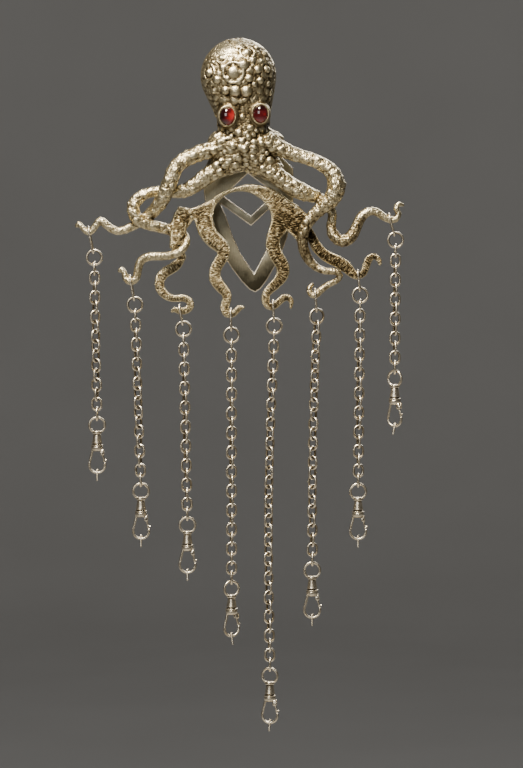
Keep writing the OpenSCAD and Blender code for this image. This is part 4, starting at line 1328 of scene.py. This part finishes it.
def clip_piece(n, surface):
    """The turned barrel with its teardrop hook, the ears of the gate and the crossing tail."""
    bm = new_form()
    barrel = [[share * BARREL_R, -BARREL_TOP - down * BARREL_L, dark] for share, down, dark in BARREL]
    turned(bm, softened(barrel) + BORE, hollow=True)
    bend = arc_points(HOOK_R, 180 - SIDE_ANGLE, 360 + HOOK_TIP, RING_STEPS, -HOOK_Z)
    straight = [Vector(HOOK_SIDE).lerp(Vector(bend[0]), k / SIDE_STEPS) for k in range(SIDE_STEPS)]
    round_rod(bm, straight + bend)
    for side in (-1, 1):
        ear_plate(bm, side)
    turned(bm, PIN_OUTLINE, TO_PIN @ SIDEWAYS)
    lean = Matrix.Rotation(math.radians(-TAIL_LEAN), 4, "X")
    turned(bm, TAIL, Matrix.Translation((0, 0, -HOOK_Z - HOOK_R)) @ lean)
    clip_part(bm, "clip_hook", f"clip_{n}", surface, "clip", n)


def gate_piece(n, surface):
    """The sprung lever with its knuckle and thumb nub."""
    bm = new_form()
    turned(bm, KNUCKLE, SIDEWAYS, hollow=True)
    lean = Matrix.Rotation(math.radians(180 - SIDE_ANGLE), 4, "Y")
    turned(bm, LEVER, lean)
    outward = Matrix.Translation((0, 0, NUB_Z)) @ Matrix.Rotation(-math.pi / 2, 4, "Y")
    turned(bm, NUB, lean @ outward)
    clip_part(bm, "sprung_gate", f"gate_{n}", surface, "gate", n, TO_PIN)


# The floor in metres: how far it lies below the chains, its rings, and the sweep's radius, height and steps
FLOOR_DROP = 0.45
FLOOR_RADII = (0.5, 1, 2, 3, 3.4)
SWEEP_R = 1.2
SWEEP_H = 2.6
SWEEP_STEPS = 12
FLOOR_SIDES = 96
# Its mottling: size in millimetres and detail, its colours and its roughness
MOTTLE = (300, 2)
FLOOR_STOPS = [[0.3, (0.74, 0.73, 0.71)], [0.7, (0.78, 0.77, 0.75)]]
FLOOR_ROUGH = 0.8


def pale_floor():
    """A flat floor that rises all round."""
    rows = [(r, 0) for r in FLOOR_RADII]
    for k in range(1, SWEEP_STEPS + 1):
        t = math.pi / 2 * k / SWEEP_STEPS
        rows.append((FLOOR_RADII[-1] + SWEEP_R * math.sin(t), SWEEP_R * (1 - math.cos(t))))
    rows.append((FLOOR_RADII[-1] + SWEEP_R, SWEEP_H))
    bm = bmesh.new()
    rings = [[bm.verts.new((0, 0, 0))]]
    rings += [[bm.verts.new((r * math.cos(t), r * math.sin(t), z)) for t in circle(FLOOR_SIDES)]
              for r, z in rows]
    join_rings(bm, rings)
    mesh = mesh_from(bm, "floor")
    mesh.shade_smooth()
    floor = new_object("floor", mesh)
    floor.location.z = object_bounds()[0].z - FLOOR_DROP
    made, tree, shader, at = material("pale_floor")
    colour = colour_ramp(tree, noise(tree, at, *MOTTLE), FLOOR_STOPS)
    feed(tree, shader, {"Base Color": colour, "Roughness": FLOOR_ROUGH})
    mesh.materials.append(made)
    floor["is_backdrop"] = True


# The surroundings, and the soft lights: [name, place, power, size, the place it faces, colour]
WORLD_COLOUR = (0.62, 0.61, 0.6, 1)
WORLD_STRENGTH = 0.1
MIDDLE = (0, 0, -0.05)
WHITE = (1, 1, 1)
LIGHTS = [
    ["key", (-0.10, -0.25, 0.33), 7.5, 0.12, MIDDLE, (1, 0.93, 0.81)],
    ["fill", (-0.5, -1.4, 0.3), 5, 0.6, MIDDLE, WHITE],
    ["rear", (0.3, 0.9, 0.5), 9, 0.6, MIDDLE, WHITE],
    ["backdrop", (0, 1.0, 1.4), 5, 1.2, (0, 4.6, -0.1), WHITE]]


def aimed(name, data, where, ahead):
    """A light or camera that looks along ahead."""
    made = new_object(name, data)
    made.location = where
    made.rotation_mode = "QUATERNION"
    made.rotation_quaternion = ahead.to_track_quat("-Z", "Y")
    return made


def add_lights():
    """The soft lights and the dim surroundings."""
    for name, where, power, size, faces, colour in LIGHTS:
        light = bpy.data.lights.new(name, "AREA")
        light.energy = power
        light.size = size
        light.color = colour
        aimed(name, light, where, Vector(faces) - Vector(where))
    world = bpy.data.worlds.new("studio")
    world.use_nodes = True
    background = world.node_tree.nodes["Background"]
    background.inputs["Color"].default_value = WORLD_COLOUR
    background.inputs["Strength"].default_value = WORLD_STRENGTH
    bpy.context.scene.world = world


def add_camera():
    """The camera at the photograph's angle and frame."""
    data = bpy.data.cameras.new("camera")
    data.sensor_width = SENSOR
    data.lens = SENSOR / 2 / (VIEW_HEIGHT / 2 / VIEW_DISTANCE)
    data.clip_start, data.clip_end = VIEW_CLIP
    tilt = math.radians(VIEW_ELEVATION)
    back = Vector((0, -math.cos(tilt), math.sin(tilt)))
    where = Vector(VIEW_CENTRE) * MM + back * VIEW_DISTANCE * MM
    bpy.context.scene.camera = aimed("camera", data, where, -back)


cast_surface = octopus_skin().data.materials[0]
hook_plate()
garnet_surface = garnet()
for eye, eye_painted_glow in EYES.items():
    stone(eye, garnet_surface, eye_painted_glow)
for eye in EYES:
    bezel(eye, cast_surface)
wire_surface = wire_silver("silver_wire", WIRE_GRAIN)
clip_surface = wire_silver("clip_silver", CLIP_GRAIN)
for n in ARMS:
    wire_piece(f"loop_wire_{n}", f"loop_{n}", wire_surface)
    wire_piece(f"jump_ring_{n}", f"ring_{n}", wire_surface)
    wire_piece(f"cable_chain_{n}", f"chain_{n}", wire_surface)
    swivel_eye_piece(n, clip_surface)
    clip_piece(n, clip_surface)
    gate_piece(n, clip_surface)
pale_floor()
add_lights()
add_camera()
